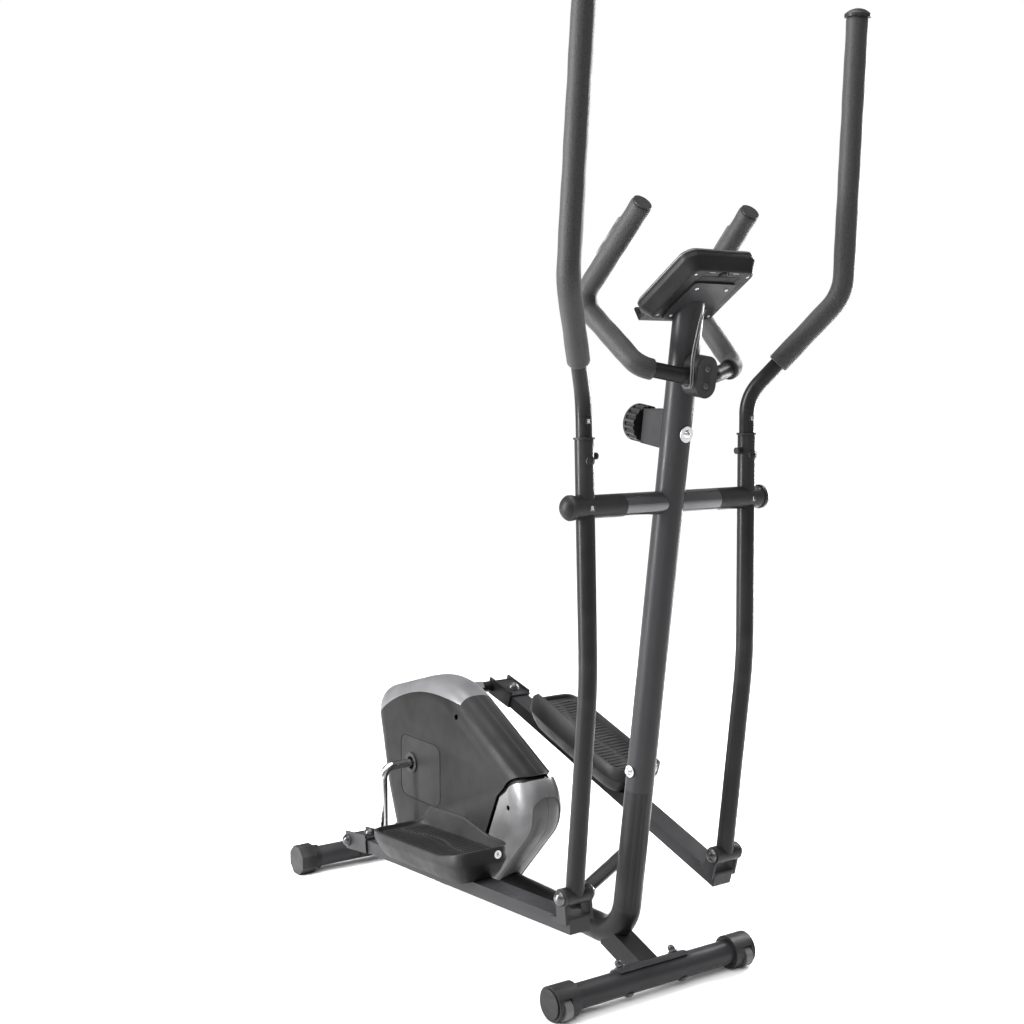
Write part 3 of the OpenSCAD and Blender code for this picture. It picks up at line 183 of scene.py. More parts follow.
M = {
    "coat": surface("powder_coat", (0.0065, 0.0065, 0.007), (0.0105, 0.0105, 0.011), 0.33,
                    grain=1500, bump=0.16, depth=0.0003, wear=(0.03, 0.03, 0.032), spec=0.14),
    "plastic": surface("moulded_plastic", (0.006, 0.006, 0.0065), (0.010, 0.010, 0.0105), 0.42,
                       grain=2200, bump=0.22, depth=0.0003, wear=(0.03, 0.03, 0.03), spec=0.14),
    "shell": surface("housing_plastic", (0.0048, 0.0048, 0.005), (0.0078, 0.0078, 0.008), 0.40,
                     grain=2600, bump=0.12, depth=0.0002, wear=(0.03, 0.03, 0.03), spec=0.10),
    "grey": surface("cover_plastic", (0.085, 0.085, 0.088), (0.115, 0.115, 0.118), 0.36,
                    metal=0.25, grain=2400, bump=0.08, depth=0.0002, wear=(0.2, 0.2, 0.2)),
    "panel": surface("panel_plastic", (0.050, 0.050, 0.052), (0.065, 0.065, 0.067), 0.40,
                     grain=2400, bump=0.10, depth=0.0002),
    "wheel": surface("wheel_plastic", (0.060, 0.060, 0.060), (0.090, 0.090, 0.090), 0.5,
                     grain=1500, bump=0.15),
    "tread": surface("tread_plastic", (0.0075, 0.0075, 0.008), (0.014, 0.014, 0.0145), 0.46,
                     grain=1300, bump=0.35, depth=0.0005, wear=(0.04, 0.04, 0.04), spec=0.16),
    "chrome": surface("chrome_plate", (0.62, 0.62, 0.64), (0.72, 0.72, 0.74), 0.12,
                      metal=1.0, grain=300, bump=0.02, round_edges=0.0),
    "zinc": surface("zinc_plate", (0.42, 0.42, 0.43), (0.58, 0.58, 0.59), 0.30,
                    metal=1.0, grain=900, bump=0.1, stretch=(1, 1, 8)),
    "dark_bolt": surface("blackened_bolt", (0.03, 0.03, 0.032), (0.06, 0.06, 0.062), 0.28,
                         metal=0.7, grain=900, bump=0.08, wear=(0.2, 0.2, 0.2)),
    "belt": surface("belt_rubber", (0.010, 0.010, 0.010), (0.018, 0.018, 0.018), 0.6,
                    grain=500, bump=0.4, stretch=(6, 1, 1), round_edges=0.0),
    "lens": surface("lens_plastic", (0.05, 0.058, 0.054), (0.07, 0.078, 0.072), 0.12,
                    grain=60, bump=0.01, coat=0.6, round_edges=0.0),
    "key": surface("button_rubber", (0.16, 0.16, 0.165), (0.2, 0.2, 0.205), 0.5, grain=1600),
    "lead": surface("lead_sheath", (0.10, 0.10, 0.105), (0.15, 0.15, 0.155), 0.38, grain=800,
                    round_edges=0.0),
    "print": surface("white_print", (0.70, 0.70, 0.70), (0.80, 0.80, 0.80), 0.5, grain=900),
    "sticker": surface("sticker_film", (0.009, 0.009, 0.009), (0.013, 0.013, 0.013), 0.3,
                       grain=500, bump=0.05),
    "glossy": surface("glossy_enamel", (0.10, 0.10, 0.105), (0.13, 0.13, 0.135), 0.20,
                      metal=0.85, grain=900, bump=0.04),
    "foam": foam_surface(),
    "iron": turned_iron(),
}
FINISH = {"black_steel": "coat", "black_plastic": "plastic", "grey_plastic": "grey",
          "wheel_grey": "wheel", "foam": "foam", "chrome": "chrome", "zinc_steel": "zinc",
          "iron": "iron", "belt_rubber": "belt", "lens": "lens", "lead": "lead"}
SPECIAL = {"stabilizer_bolts": "dark_bolt", "pedal_bolts_right": "dark_bolt",
           "pedal_bolts_left": "dark_bolt", "console_bracket": "coat", "arm_axle": "zinc",
           "button_left": "key", "button_middle": "key", "button_right": "key",
           "housing_screws": "dark_bolt", "crank_caps": "dark_bolt", "crossbar": "glossy"}
for part in frame["record"]["subparts"]:
    chosen = SPECIAL.get(part["node"], FINISH[part["material_slot"]])
    mesh = NODES[part["node"]].data
    mesh.materials.clear()
    mesh.materials.append(M[chosen])


# ---------------------------------------------------------------- mesh helpers
def add_object(name, mesh, mat, body, slot_name, *covers, smooth=38):
    obj = bpy.data.objects.new(name, mesh)
    bpy.context.scene.collection.objects.link(obj)
    if not mesh.materials:
        mesh.materials.append(M[mat])
    if smooth:
        mesh.set_sharp_from_angle(angle=math.radians(smooth))
        for face in mesh.polygons:
            face.use_smooth = True
    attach(obj, body)
    if covers:
        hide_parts(*covers)
    return obj


def mesh_from(name, verts, faces):
    mesh = bpy.data.meshes.new(name)
    mesh.from_pydata([tuple(v) for v in verts], [], faces)
    work = bmesh.new()
    work.from_mesh(mesh)
    bmesh.ops.recalc_face_normals(work, faces=work.faces)
    work.to_mesh(mesh)
    work.free()
    return mesh


def rings_mesh(name, rings, closed_loft=False):
    """Joins rings of equal length; the two ends are capped unless the loft closes on itself."""
    n = len(rings[0])
    verts = [v for ring in rings for v in ring]
    faces = []
    last = len(rings) if closed_loft else len(rings) - 1
    for k in range(last):
        a, b = k * n, ((k + 1) % len(rings)) * n
        for i in range(n):
            j = (i + 1) % n
            faces.append((a + i, a + j, b + j, b + i))
    if not closed_loft:
        faces.append(tuple(range(n - 1, -1, -1)))
        faces.append(tuple(range(len(verts) - n, len(verts))))
    return mesh_from(name, verts, faces)


def fillet(points, radius, steps=12):
    points = [Vector(p) for p in points]
    path = [points[0]]
    for before, corner, after in zip(points, points[1:], points[2:]):
        d1, d2 = (corner - before).normalized(), (after - corner).normalized()
        angle = d1.angle(d2)
        cut = radius * math.tan(angle / 2)
        n = (d2 - d1 * d1.dot(d2)).normalized()
        centre = corner - d1 * cut + n * radius
        for k in range(steps + 1):
            a = angle * k / steps
            path.append(centre - n * radius * math.cos(a) + d1 * radius * math.sin(a))
    path.append(points[-1])
    return path


def along(path, distance):
    """Point and direction at a distance along a path."""
    for a, b in zip(path, path[1:]):
        length = (b - a).length
        if distance <= length or b is path[-1]:
            return a.lerp(b, distance / length), (b - a).normalized()
        distance -= length


def sweep_rings(path, stations, segments=32):
    """Rings at (distance, radius) stations, without twist."""
    rings, side = [], None
    for distance, radius in stations:
        point, direction = along(path, distance)
        if side is None:
            side = direction.orthogonal().normalized()
        side = (side - direction * side.dot(direction)).normalized()
        up = direction.cross(side)
        rings.append([point + (side * math.cos(2 * math.pi * i / segments)
                               + up * math.sin(2 * math.pi * i / segments)) * radius
                      for i in range(segments)])
    return rings


def length_of(path):
    return sum((b - a).length for a, b in zip(path, path[1:]))


def foam_tube(name, path, radius, bore, body, covers, swell=0.0004):
    """Foam sleeve with rounded ends and a slightly uneven skin."""
    total = length_of(path)
    count = 64
    outer = [(0.0, radius - 0.0022), (0.0008, radius - 0.0007), (0.0024, radius)]
    outer += [(0.006 + (total - 0.012) * k / count,
               radius + swell * math.sin(k * 0.7) * math.sin(k * 0.23)) for k in range(count + 1)]
    outer += [(total - 0.0024, radius), (total - 0.0008, radius - 0.0007),
              (total, radius - 0.0022)]
    inner = [(total * (1 - k / 24), bore) for k in range(25)]
    rings = sweep_rings(path, outer, 40) + sweep_rings(path, inner[::-1], 40)[::-1]
    mesh = rings_mesh(name, rings, closed_loft=True)
    obj = add_object(name, mesh, "foam", body, "foam", covers)
    return obj


def evaluated(obj):
    graph = bpy.context.evaluated_depsgraph_get()
    return bpy.data.meshes.new_from_object(obj.evaluated_get(graph))


def temp(mesh):
    obj = bpy.data.objects.new("temp", mesh)
    bpy.context.scene.collection.objects.link(obj)
    return obj


def carve(base, tools):
    """The base mesh after a list of (operation, mesh) steps."""
    obj = temp(base)
    helpers = []
    for operation, tool in tools:
        helper = temp(tool)
        helpers.append(helper)
        mod = obj.modifiers.new("cut", "BOOLEAN")
        mod.operation = operation
        mod.solver = "EXACT"
        mod.object = helper
    bpy.context.view_layer.update()
    result = evaluated(obj)
    for helper in helpers + [obj]:
        bpy.data.objects.remove(helper)
    result.materials.clear()
    return result


def prism(outline, x0, x1):
    """Outline in the YZ plane, from x0 to x1."""
    rings = [[(x, y, z) for y, z in outline] for x in (x0, x1)]
    return rings_mesh("prism", rings)


def joined(name, meshes):
    work = bmesh.new()
    for mesh in meshes:
        work.from_mesh(mesh)
    out = bpy.data.meshes.new(name)
    work.to_mesh(out)
    work.free()
    return out


def moved(mesh, matrix):
    mesh.transform(matrix)
    if matrix.determinant() < 0:
        mesh.flip_normals()
    return mesh


# ---------------------------------------------------------------- local frames of the linkage
def about_x(origin, angle):
    return Matrix.Translation(origin) @ Matrix.Rotation(angle, 4, "X")


def flip_of(side):
    return Matrix.Scale(-1, 4, Vector((1, 0, 0))) if side < 0 else Matrix.Identity(4)


ARM, BAR = {}, {}
CRANK_R = 133 * MM
DROP = 46 * MM
BAR_LEN = 705 * MM
for side, word in ((-1, "right"), (1, "left")):
    low = joint_pos(word + "_pedal_pivot")
    hang = low - AXLE
    ARM[side] = about_x(Vector((0, AXLE.y, AXLE.z)), math.atan2(hang.y, -hang.z)) @ flip_of(side)
    pin = CRANK + Vector((0, 0, side * CRANK_R)) - low
    BAR[side] = (about_x(Vector((0, low.y, low.z)), math.atan2(pin.z, pin.y)) @ flip_of(side)
                 @ Matrix.Translation((ARM_X, 0, -DROP))
                 @ Matrix.Rotation(math.atan2(DROP, BAR_LEN), 4, "X"))
WORD = {-1: "right", 1: "left"}

# ---------------------------------------------------------------- foam on the arms and handlebar
KICK = 20 / 275
HANDLE = [Vector((170, 26 * KICK, 26)) * MM, Vector((170, 168 * KICK, 168)) * MM,
          Vector((278, -84, 340)) * MM, Vector((264, -88, 775)) * MM]
for side in (-1, 1):
    start = HANDLE[1].lerp(HANDLE[2], 0.32)
    path = [ARM[side] @ p for p in fillet([start, HANDLE[2], HANDLE[3]], 75 * MM)]
    foam_tube("foam_grip_" + WORD[side], path, FOAM_R - 0.0003, HANDLE_R + 0.00005,
              "swing_arm_" + WORD[side], "handle_foam_" + WORD[side])

MAST_R = 24 * MM
CLAMP_Z = 1024 * MM
LEAN = math.radians(8)


def mast_y(z):
    return AXLE.y + (AXLE.z - z) * math.tan(LEAN)


REACH = MAST_R + TUBE_R + 0.5 * MM
CLAMP_ON = CLAMP_Z + REACH * math.sin(LEAN)
CLAMP_Y = mast_y(CLAMP_ON) - REACH * math.cos(LEAN)
HORN = [Vector((101, 24, 14)) * MM, Vector((119, 147, 118)) * MM, Vector((111, 6, 258)) * MM]
HORN = [p + Vector((0, CLAMP_Y, CLAMP_Z)) for p in HORN]
CENTRE = Vector((0, CLAMP_Y, CLAMP_Z))
grips = []
for side in (-1, 1):
    inward = (CENTRE + Vector((32 * MM, 0, 0)) - HORN[0]).normalized()
    pts = [HORN[0] + inward * 24 * MM] + HORN
    path = [flip_of(side) @ p for p in fillet(pts, 32 * MM)]
    grips.append((side, path))
for side, path in grips:
    foam_tube("handlebar_foam_" + WORD[side], path, GRIP_R - 0.0002, TUBE_R + 0.00005, "frame",
              "handlebar_grips")

# ---------------------------------------------------------------- housing
LOBES = [(815, 330, 60), (650, 235, 198), (402, 235, 80), (515, 115, 80), (742, 97, 62)]
HALF = 47 * MM
BULGE = 42 * MM
Y0 = AXLE.y
TUBE_Z = 68 * MM


def outline(inset, count=288):
    points = []
    for k in range(count):
        a = 2 * math.pi * k / count
        y, z, r = max(LOBES, key=lambda c: c[0] * math.cos(a) + c[1] * math.sin(a) + c[2])
        points.append((y * MM + (r * MM - inset) * math.cos(a) + Y0,
                       z * MM + (r * MM - inset) * math.sin(a)))
    return points


def pod(skin):
    half = HALF - skin
    rings = []
    for k in range(-22, 23):
        f = math.sin(k / 22 * math.pi / 2)
        inset = BULGE * (1 - math.sqrt(max(0.0, 1 - abs(f) ** 3))) + skin
        rings.append([(half * f, y, z) for y, z in outline(inset)])
    return rings_mesh("pod", rings)


def yz(points):
    return [(y * MM + Y0, z * MM) for y, z in points]


def arc_points(cy, cz, r, a0, a1, n=28):
    return [(cy + r * math.cos(math.radians(a0 + (a1 - a0) * k / n)),
             cz + r * math.sin(math.radians(a0 + (a1 - a0) * k / n))) for k in range(n + 1)]


def top_zone(g):
    arc = arc_points(635, 50, 353 + g, 103, 40)
    arc = [p for p in arc if p[0] > 556 + g]
    cut = 50 + math.sqrt((353 + g) ** 2 - (79 - g) ** 2)
    return yz([(556 + g, 500), (556 + g, cut)] + arc + [(960, arc[-1][1]), (960, 500)])


def front_zone(g):
    return yz([(200, -20), (200, 300), (330, 300)] + arc_points(352, 243, 45 - g, 88, 30, 8)
              + [(412 - g, 250), (512 - 1.4 * g, 34), (530 - 1.4 * g, -20)])


def bottom_zone(g):
    return yz([(534 + g, -20), (484 + g * 1.4, 98 - g), (1000, 98 - g), (1000, -20)])


def rounded(y0, z0, y1, z1, r, n=6):
    corners = [(y1 - r, z1 - r, 0), (y0 + r, z1 - r, 90), (y0 + r, z0 + r, 180), (y1 - r, z0 + r, 270)]
    return [p for cy, cz, a in corners for p in arc_points(cy, cz, r, a, a + 90, n)]


solid_pod = pod(0.0)
hollow = ("DIFFERENCE", pod(2.2 * MM))
tube_way = rings_mesh("way", sweep_rings([Vector((0, Y0, TUBE_Z)), Vector((0, 1.1 + Y0, TUBE_Z))],
                                         [(0, 0.0255), (1.1, 0.0255)], 48))
crank_way = prism(arc_points(0, 0, 15.9, 0, 352.5, 47), -0.1, 0.1)
crank_way.transform(Matrix.Translation((0, CRANK.y, CRANK.z)) @ Matrix.Diagonal((1, MM, MM, 1)))
ways = [("DIFFERENCE", tube_way), ("DIFFERENCE", crank_way)]


def wide(zone):
    return prism(zone, -0.1, 0.1)


def half_space(side, seam):
    """Everything on one side of the housing's middle, from the seam out."""
    x0, x1 = (seam, 0.1) if side > 0 else (-0.1, -seam)
    return prism([(Y0 + 0.2, 0), (Y0 + 1.0, 0), (Y0 + 1.0, 0.5), (Y0 + 0.2, 0.5)], x0, x1)


def on_side(side, x0, x1):
    """A stretch of X measured outward, on the given side."""
    return (x0, x1) if side > 0 else (-x1, -x0)


shell_mesh = carve(solid_pod.copy(), [hollow] + ways)
for side in (-1, 1):
    cy, cz = (CRANK.y - Y0) / MM, CRANK.z / MM
    ring_out = prism(yz(rounded(cy - 108, cz - 72, cy + 42, cz + 55, 22)),
                     *on_side(side, 0.0463, 0.1))
    ring_in = prism(yz(rounded(cy - 105.6, cz - 69.6, cy + 39.6, cz + 52.6, 20)),
                    *on_side(side, 0.04, 0.2))
    groove = carve(ring_out, [("DIFFERENCE", ring_in)])
    hole = prism(yz(arc_points(559, 372, 5.5, 0, 345, 23)), *on_side(side, 0.03, 0.1))
    mesh = carve(shell_mesh.copy(), [("INTERSECT", half_space(side, 0.0002)),
                                     ("DIFFERENCE", wide(top_zone(0.0))),
                                     ("DIFFERENCE", wide(front_zone(-9.0))),
                                     ("DIFFERENCE", wide(bottom_zone(-0.2))),
                                     ("DIFFERENCE", groove), ("DIFFERENCE", hole)])
    add_object("housing_shell_" + WORD[side], mesh, "shell", "frame", "black_plastic",
               "housing_" + WORD[side])

top = carve(shell_mesh.copy(), [("INTERSECT", wide(top_zone(0.6)))])
add_object("housing_top", top, "grey", "frame", "grey_plastic", "top_cover")
bottom_holes = [prism(yz(arc_points(y, z, 5.0, 0, 345, 23)), -0.1, 0.1) for y, z in ((548, 60), (763, 70))]
bottom = carve(shell_mesh.copy(), [("INTERSECT", wide(bottom_zone(0.4)))]
               + [("DIFFERENCE", h) for h in bottom_holes])
add_object("housing_bottom", bottom, "grey", "frame", "grey_plastic", "bottom_cover")


def arch(half, top_z, x_grow=0.0):
    """Arch shaped panel outline seen from the front, as a loft along Y."""
    h = half + x_grow
    pts = [(h * MM * math.cos(a), (top_z + x_grow - h * 0.75 + h * 0.75 * math.sin(a)) * MM)
           for a in (math.pi * k / 24 for k in range(25))]
    pts += [(-h * MM, 0.0), (h * MM, 0.0)]
    return rings_mesh("arch", [[(x, y, z) for x, z in pts] for y in (Y0 + 0.25, Y0 + 0.62)])


front_holes = [prism(yz(arc_points(384, 236, 5.0, 0, 345, 23)), -0.1, 0.1)]
front = carve(shell_mesh.copy(), [("INTERSECT", wide(front_zone(0.6))), ("DIFFERENCE", arch(31, 262, 0.4))]
              + [("DIFFERENCE", h) for h in front_holes])
add_object("housing_front", front, "grey", "frame", "grey_plastic", "front_cover")
inner_pod = carve(pod(1.6 * MM), [("DIFFERENCE", pod(4.0 * MM))] + ways)
for side in (-1, 1):
    mesh = carve(inner_pod.copy(), [("INTERSECT", wide(front_zone(0.6))), ("INTERSECT", arch(31, 262)),
                                    ("INTERSECT", half_space(side, 0.0003))])
    add_object("front_panel_" + WORD[side], mesh, "panel", "frame", "grey_plastic", "front_cover")
# Dark lining that shows in the gap over the front cover
lining = carve(pod(6.0 * MM), [("DIFFERENCE", pod(7.5 * MM)), ("INTERSECT", wide(yz(
    [(310, 225), (310, 330), (430, 330), (440, 225)]))), ("DIFFERENCE", tube_way)])
add_object("housing_lining", lining, "shell", "frame", "black_plastic")

# ---------------------------------------------------------------- foot plates
PLATE_W, PLATE_L, PLATE_X, PLATE_Y = 122 * MM, 300 * MM, 5 * MM, 250 * MM
TREAD = 40 * MM
BAR_TOP = 12.1 * MM
CORNER_POWER = 0.30


def plate_loop(inset, count=96):
    """Plan outline: a rectangle with well rounded corners, all four alike."""
    hw, hl = PLATE_W / 2 - inset, PLATE_L / 2 - inset
    points = []
    for k in range(count):
        a = 2 * math.pi * k / count
        c, s = math.cos(a), math.sin(a)
        power = CORNER_POWER
        points.append((PLATE_X + hw * math.copysign(abs(c) ** power, c),
                       PLATE_Y + PLATE_L / 2 + hl * math.copysign(abs(s) ** power, s)))
    return points


def rim_height(x, y):
    """Low along the outer side, higher at the front, highest beside the housing."""
    u = (x - PLATE_X) / (PLATE_W / 2)
    v = (y - PLATE_Y) / PLATE_L
    height = 47 + 11 * max(0.0, 1 - v / 0.18)
    inner = max(0.0, min(1.0, (-u - 0.80) / 0.12))
    guard = 58 + 19 * max(0.0, min(1.0, (v - 0.25) / 0.25)) * max(0.0, min(1.0, (0.97 - v) / 0.08))
    guard *= 1 if v > 0.05 else 0.98
    return (height + (guard - height) * inner) * MM


for side in (-1, 1):
    word = WORD[side]
    loops = []
    for inset, z, follow in ((17, 0, 0), (9, 12, 0), (2.5, 27, 0), (0.4, 31, 0), (0, 34, 0),
                             (0, 0, 1), (0.6, 0.9, 1), (1.8, 1.4, 1), (4.2, 1.4, 1), (5.4, 0.8, 1),
                             (6, 0, 1)):
        ring = []
        for x, y in plate_loop(inset * MM):
            if follow:
                ring.append(Vector((x, y, rim_height(x, y) + (z - 1.5) * MM)))
            else:
                ring.append(Vector((x, y, z * MM)))
        loops.append(ring)
    for inset, z in ((6.8, TREAD + 0.0015), (8.2, TREAD)):
        loops.append([Vector((x, y, z)) for x, y in plate_loop(inset * MM)])
    body_mesh = rings_mesh("plate", loops)
    ribs = []
    count = 27
    for k in range(count):
        y = PLATE_Y + 24 * MM + k * 9.7 * MM
        for x_from, x_to in ((-47, -5 + 9 * math.sin(k * 0.30)), (3 + 9 * math.sin(k * 0.30), 47)):
            if k in (0, count - 1):
                x_from, x_to = x_from * 0.86, x_to * 0.86
            if x_to - x_from < 6:
                continue
            path = [Vector((PLATE_X + x * MM, y + 2.2 * MM * math.sin(x * 0.05), TREAD))
                    for x in (x_from + (x_to - x_from) * i / 8 for i in range(9))]
            total = length_of(path)
            stations = [(0, 0.0004), (0.001, 0.0019)] + [(total * i / 8, 0.0022) for i in range(1, 8)] + [
                (total - 0.001, 0.0019), (total, 0.0004)]
            ribs.append(rings_mesh("rib", sweep_rings(path, stations, 10)))
    whole = joined("foot_plate", [body_mesh] + ribs)
    lift = BAR[side] @ Matrix.Translation((0, 0, BAR_TOP))
    add_object("foot_plate_body_" + word, moved(whole, lift), "tread", "pedal_" + word,
               "black_plastic", "foot_plate_" + word, smooth=45)


# ---------------------------------------------------------------- letters
def letter_mesh(text, size):
    curve = bpy.data.curves.new("letter", "FONT")
    curve.body = text
    curve.size = size
    curve.align_x = "CENTER"
    curve.align_y = "CENTER"
    curve.extrude = 0.00008
    obj = bpy.data.objects.new("letter", curve)
    bpy.context.scene.collection.objects.link(obj)
    bpy.context.view_layer.update()
    mesh = evaluated(obj)
    bpy.data.objects.remove(obj)
    work = bmesh.new()
    work.from_mesh(mesh)
    bmesh.ops.subdivide_edges(work, edges=[e for e in work.edges if e.calc_length() > size / 6], cuts=3)
    bmesh.ops.triangulate(work, faces=work.faces)
    work.to_mesh(mesh)
    work.free()
    return mesh


def disc_mesh(radius, thick, squareness=1.0, count=40, rings=4):
    verts, faces = [], []
    loops = []
    for level in (0, 1):
        for k in range(1, rings + 1):
            loops.append([(radius * k / rings * math.copysign(abs(math.cos(a)) ** squareness, math.cos(a)),
                           radius * k / rings * math.copysign(abs(math.sin(a)) ** squareness, math.sin(a)),
                           thick * level) for a in (2 * math.pi * i / count for i in range(count))])
    order = loops[:rings] + loops[rings:][::-1]
    return rings_mesh("disc", order)


STICKER_R = 5.6 * MM


def on_axle(mesh, radius):
    """Wraps a flat mesh (X along, Y round, Z out) on the -Y side of a tube along X."""
    for v in mesh.vertices:
        a, r = v.co.y / radius, radius + v.co.z
        v.co = Vector((v.co.x, -r * math.cos(a), r * math.sin(a)))
    return mesh


def on_tube(mesh, radius):
    """Wraps a flat mesh (X across, Y along, Z out) round a tube on its -Y side."""
    for v in mesh.vertices:
        a, r = v.co.x / radius, radius + v.co.z
        v.co = Vector((r * math.sin(a), -r * math.cos(a), v.co.y))
    return mesh


for side in (-1, 1):
    mark = "R" if side < 0 else "L"
    fall = joint_pos(WORD[side] + "_pedal_pivot") - AXLE
    hang = about_x(Vector((0, AXLE.y, AXLE.z)), math.atan2(fall.y, -fall.z))
    for tag, z, radius in (("upper", 132, HANDLE_R + 0.0001), ("axle", 0, 18.6 * MM)):
        place = hang @ Matrix.Translation((side * ARM_X, z * KICK * MM, z * MM))
        label = disc_mesh(STICKER_R, 0.00015, 0.55)
        letter = letter_mesh(mark, 9.5 * MM)
        for v in letter.vertices:
            v.co.z += 0.0003
        wrap = on_tube if tag == "upper" else on_axle
        label, letter = wrap(label, radius), wrap(letter, radius)
        add_object(f"{tag}_label_{WORD[side]}", moved(label, place), "sticker",
                   "swing_arm_" + WORD[side], "black_plastic")
        add_object(f"{tag}_letter_{WORD[side]}", moved(letter, place), "print",
                   "swing_arm_" + WORD[side], "wheel_grey")
    # Round badge on the front wall of the foot plate
    badge = disc_mesh(7.0 * MM, 0.0006)
    letter = letter_mesh(mark, 10 * MM)
    face = (BAR[side] @ Matrix.Translation((-22 * MM, PLATE_Y - 0.0002, BAR_TOP + 44 * MM))
            @ Matrix.Rotation(math.radians(90), 4, "X"))
    add_object("plate_badge_" + WORD[side], moved(badge, face), "print", "pedal_" + WORD[side], "wheel_grey")
    turned = face @ Matrix.Translation((0, 0, 0.0007)) @ (Matrix.Scale(-1, 4, Vector((1, 0, 0))) if side < 0
                                                           else Matrix.Identity(4))
    add_object("plate_letter_" + WORD[side], moved(letter, turned), "sticker", "pedal_" + WORD[side],
               "black_plastic")

# ---------------------------------------------------------------- console
CON = (Matrix.Translation((0, AXLE.y - 60 * MM, AXLE.z + 346 * MM))
       @ Matrix.Rotation(math.radians(-33), 4, "X"))
CON_W, CON_L, CON_R = 148 * MM, 150 * MM, 22 * MM


def con_loop(inset, z, w=CON_W, l=CON_L, r=CON_R, n=9, cx=0.0, cy=0.0):
    hw, hl, rad = w / 2 - inset, l / 2 - inset, max(r - inset * 0.8, 0.0006)
    pts = []
    for sx, sy, a0 in ((1, 1, 0), (-1, 1, 90), (-1, -1, 180), (1, -1, 270)):
        for k in range(n + 1):
            a = math.radians(a0 + 90 * k / n)
            pts.append(Vector((cx + sx * (hw - rad) + rad * math.cos(a),
                               cy + sy * (hl - rad) + rad * math.sin(a), z)))
    return pts


def con_piece(name, loops, mat, slot_name, *covers, smooth=35):
    mesh = rings_mesh(name, loops)
    return add_object(name, moved(mesh, CON), mat, "frame", slot_name, *covers, smooth=smooth)


rear = rings_mesh("rear", [con_loop(i * MM, z * MM) for i, z in (
    (14, -26), (12.6, -25.8), (11.6, -25.0), (9.5, -21.5), (4.5, -13.0), (1.2, -8.6), (0.3, -7.2), (0, -5.5),
    (0, -0.4), (0.4, 0.0))])
pocket = rings_mesh("pocket", [con_loop(i * MM, z * MM) for i, z in ((16, -23.5), (3, -5), (3, 2))])
door_seat = rings_mesh("seat", [con_loop(0, z * MM, 78 * MM, 38 * MM, 3 * MM, 4, 0, -32 * MM)
                                for z in (-30, -25.0)])
latch_seat = rings_mesh("latch", [con_loop(0, z * MM, 20 * MM, 12 * MM, 5.9 * MM, 5, 0, -56 * MM)
                                  for z in (-30, -24.6)])
slots = [rings_mesh("slot", [con_loop(0, z * MM, w * MM, 3.4 * MM, 1.6 * MM, 4, x * MM, y * MM)
                             for z in (-30, -24.8)])
         for x, y, w in ((-24, -59, 14), (24, -59, 14))]
rear = carve(rear, [("DIFFERENCE", pocket), ("DIFFERENCE", door_seat), ("DIFFERENCE", latch_seat)]
             + [("DIFFERENCE", s) for s in slots])
add_object("console_back", moved(rear, CON), "plastic", "frame", "black_plastic", "console_rear")
con_piece("battery_door", [con_loop(i * MM, z * MM, 77 * MM, 37 * MM, 2.6 * MM, 4, 0, -32 * MM) for i, z in (
    (0, -25.05), (0, -25.9), (0.5, -26.3), (1.6, -26.4), (2.4, -25.9), (5, -25.9))],
          "plastic", "black_plastic")
con_piece("battery_latch", [con_loop(i * MM, z * MM, 15 * MM, 9 * MM, 4.4 * MM, 6, 0, -56 * MM) for i, z in (
    (0, -24.65), (0, -26.4), (0.8, -27.6), (2.2, -28.3), (3.6, -28.6))], "plastic", "black_plastic")
for k, x in enumerate((-24, 24)):
    con_piece(f"battery_tab_{k}", [con_loop(i * MM, z * MM, 13 * MM, 2.6 * MM, 1.2 * MM, 3, x * MM, -59 * MM)
                                   for i, z in ((0, -24.85), (0, -25.6), (0.4, -26.0))], "lead", "lead")


def screw_mesh(radius, height):
    """Pan head with a cross recess, on +Z."""
    head = rings_mesh("head", [[(r * math.cos(a), r * math.sin(a), z) for a in
                                (2 * math.pi * i / 24 for i in range(24))] for r, z in (
        (radius, 0), (radius, height * 0.35), (radius * 0.86, height * 0.75), (radius * 0.55, height),
        (radius * 0.3, height * 1.02))])
    bars = []
    for turn in (0, 90):
        w, l = radius * 0.13, radius * 0.52
        bar = rings_mesh("bar", [[(x, y, z) for x, y in ((-l, -w), (l, -w), (l, w), (-l, w))]
                                 for z in (height * 0.45, height * 1.4)])
        bar.transform(Matrix.Rotation(math.radians(turn), 4, "Z"))
        bars.append(("DIFFERENCE", bar))
    return carve(head, bars)


screws = []
base_screw = screw_mesh(3.0 * MM, 1.8 * MM)
down = Matrix.Rotation(math.radians(180), 4, "X")
for x, y, z in ((-53, -52, -24.6), (53, -52, -24.6), (-53, 52, -24.6), (53, 52, -24.6), (-30, 48, -28.9),
                (30, 48, -28.9), (-30, -22, -28.9), (30, -22, -28.9)):
    one = base_screw.copy()
    one.transform(CON @ Matrix.Translation((x * MM, y * MM, z * MM)) @ down)
    screws.append(one)
add_object("console_screws", joined("screws", screws), "zinc", "frame", "zinc_steel")

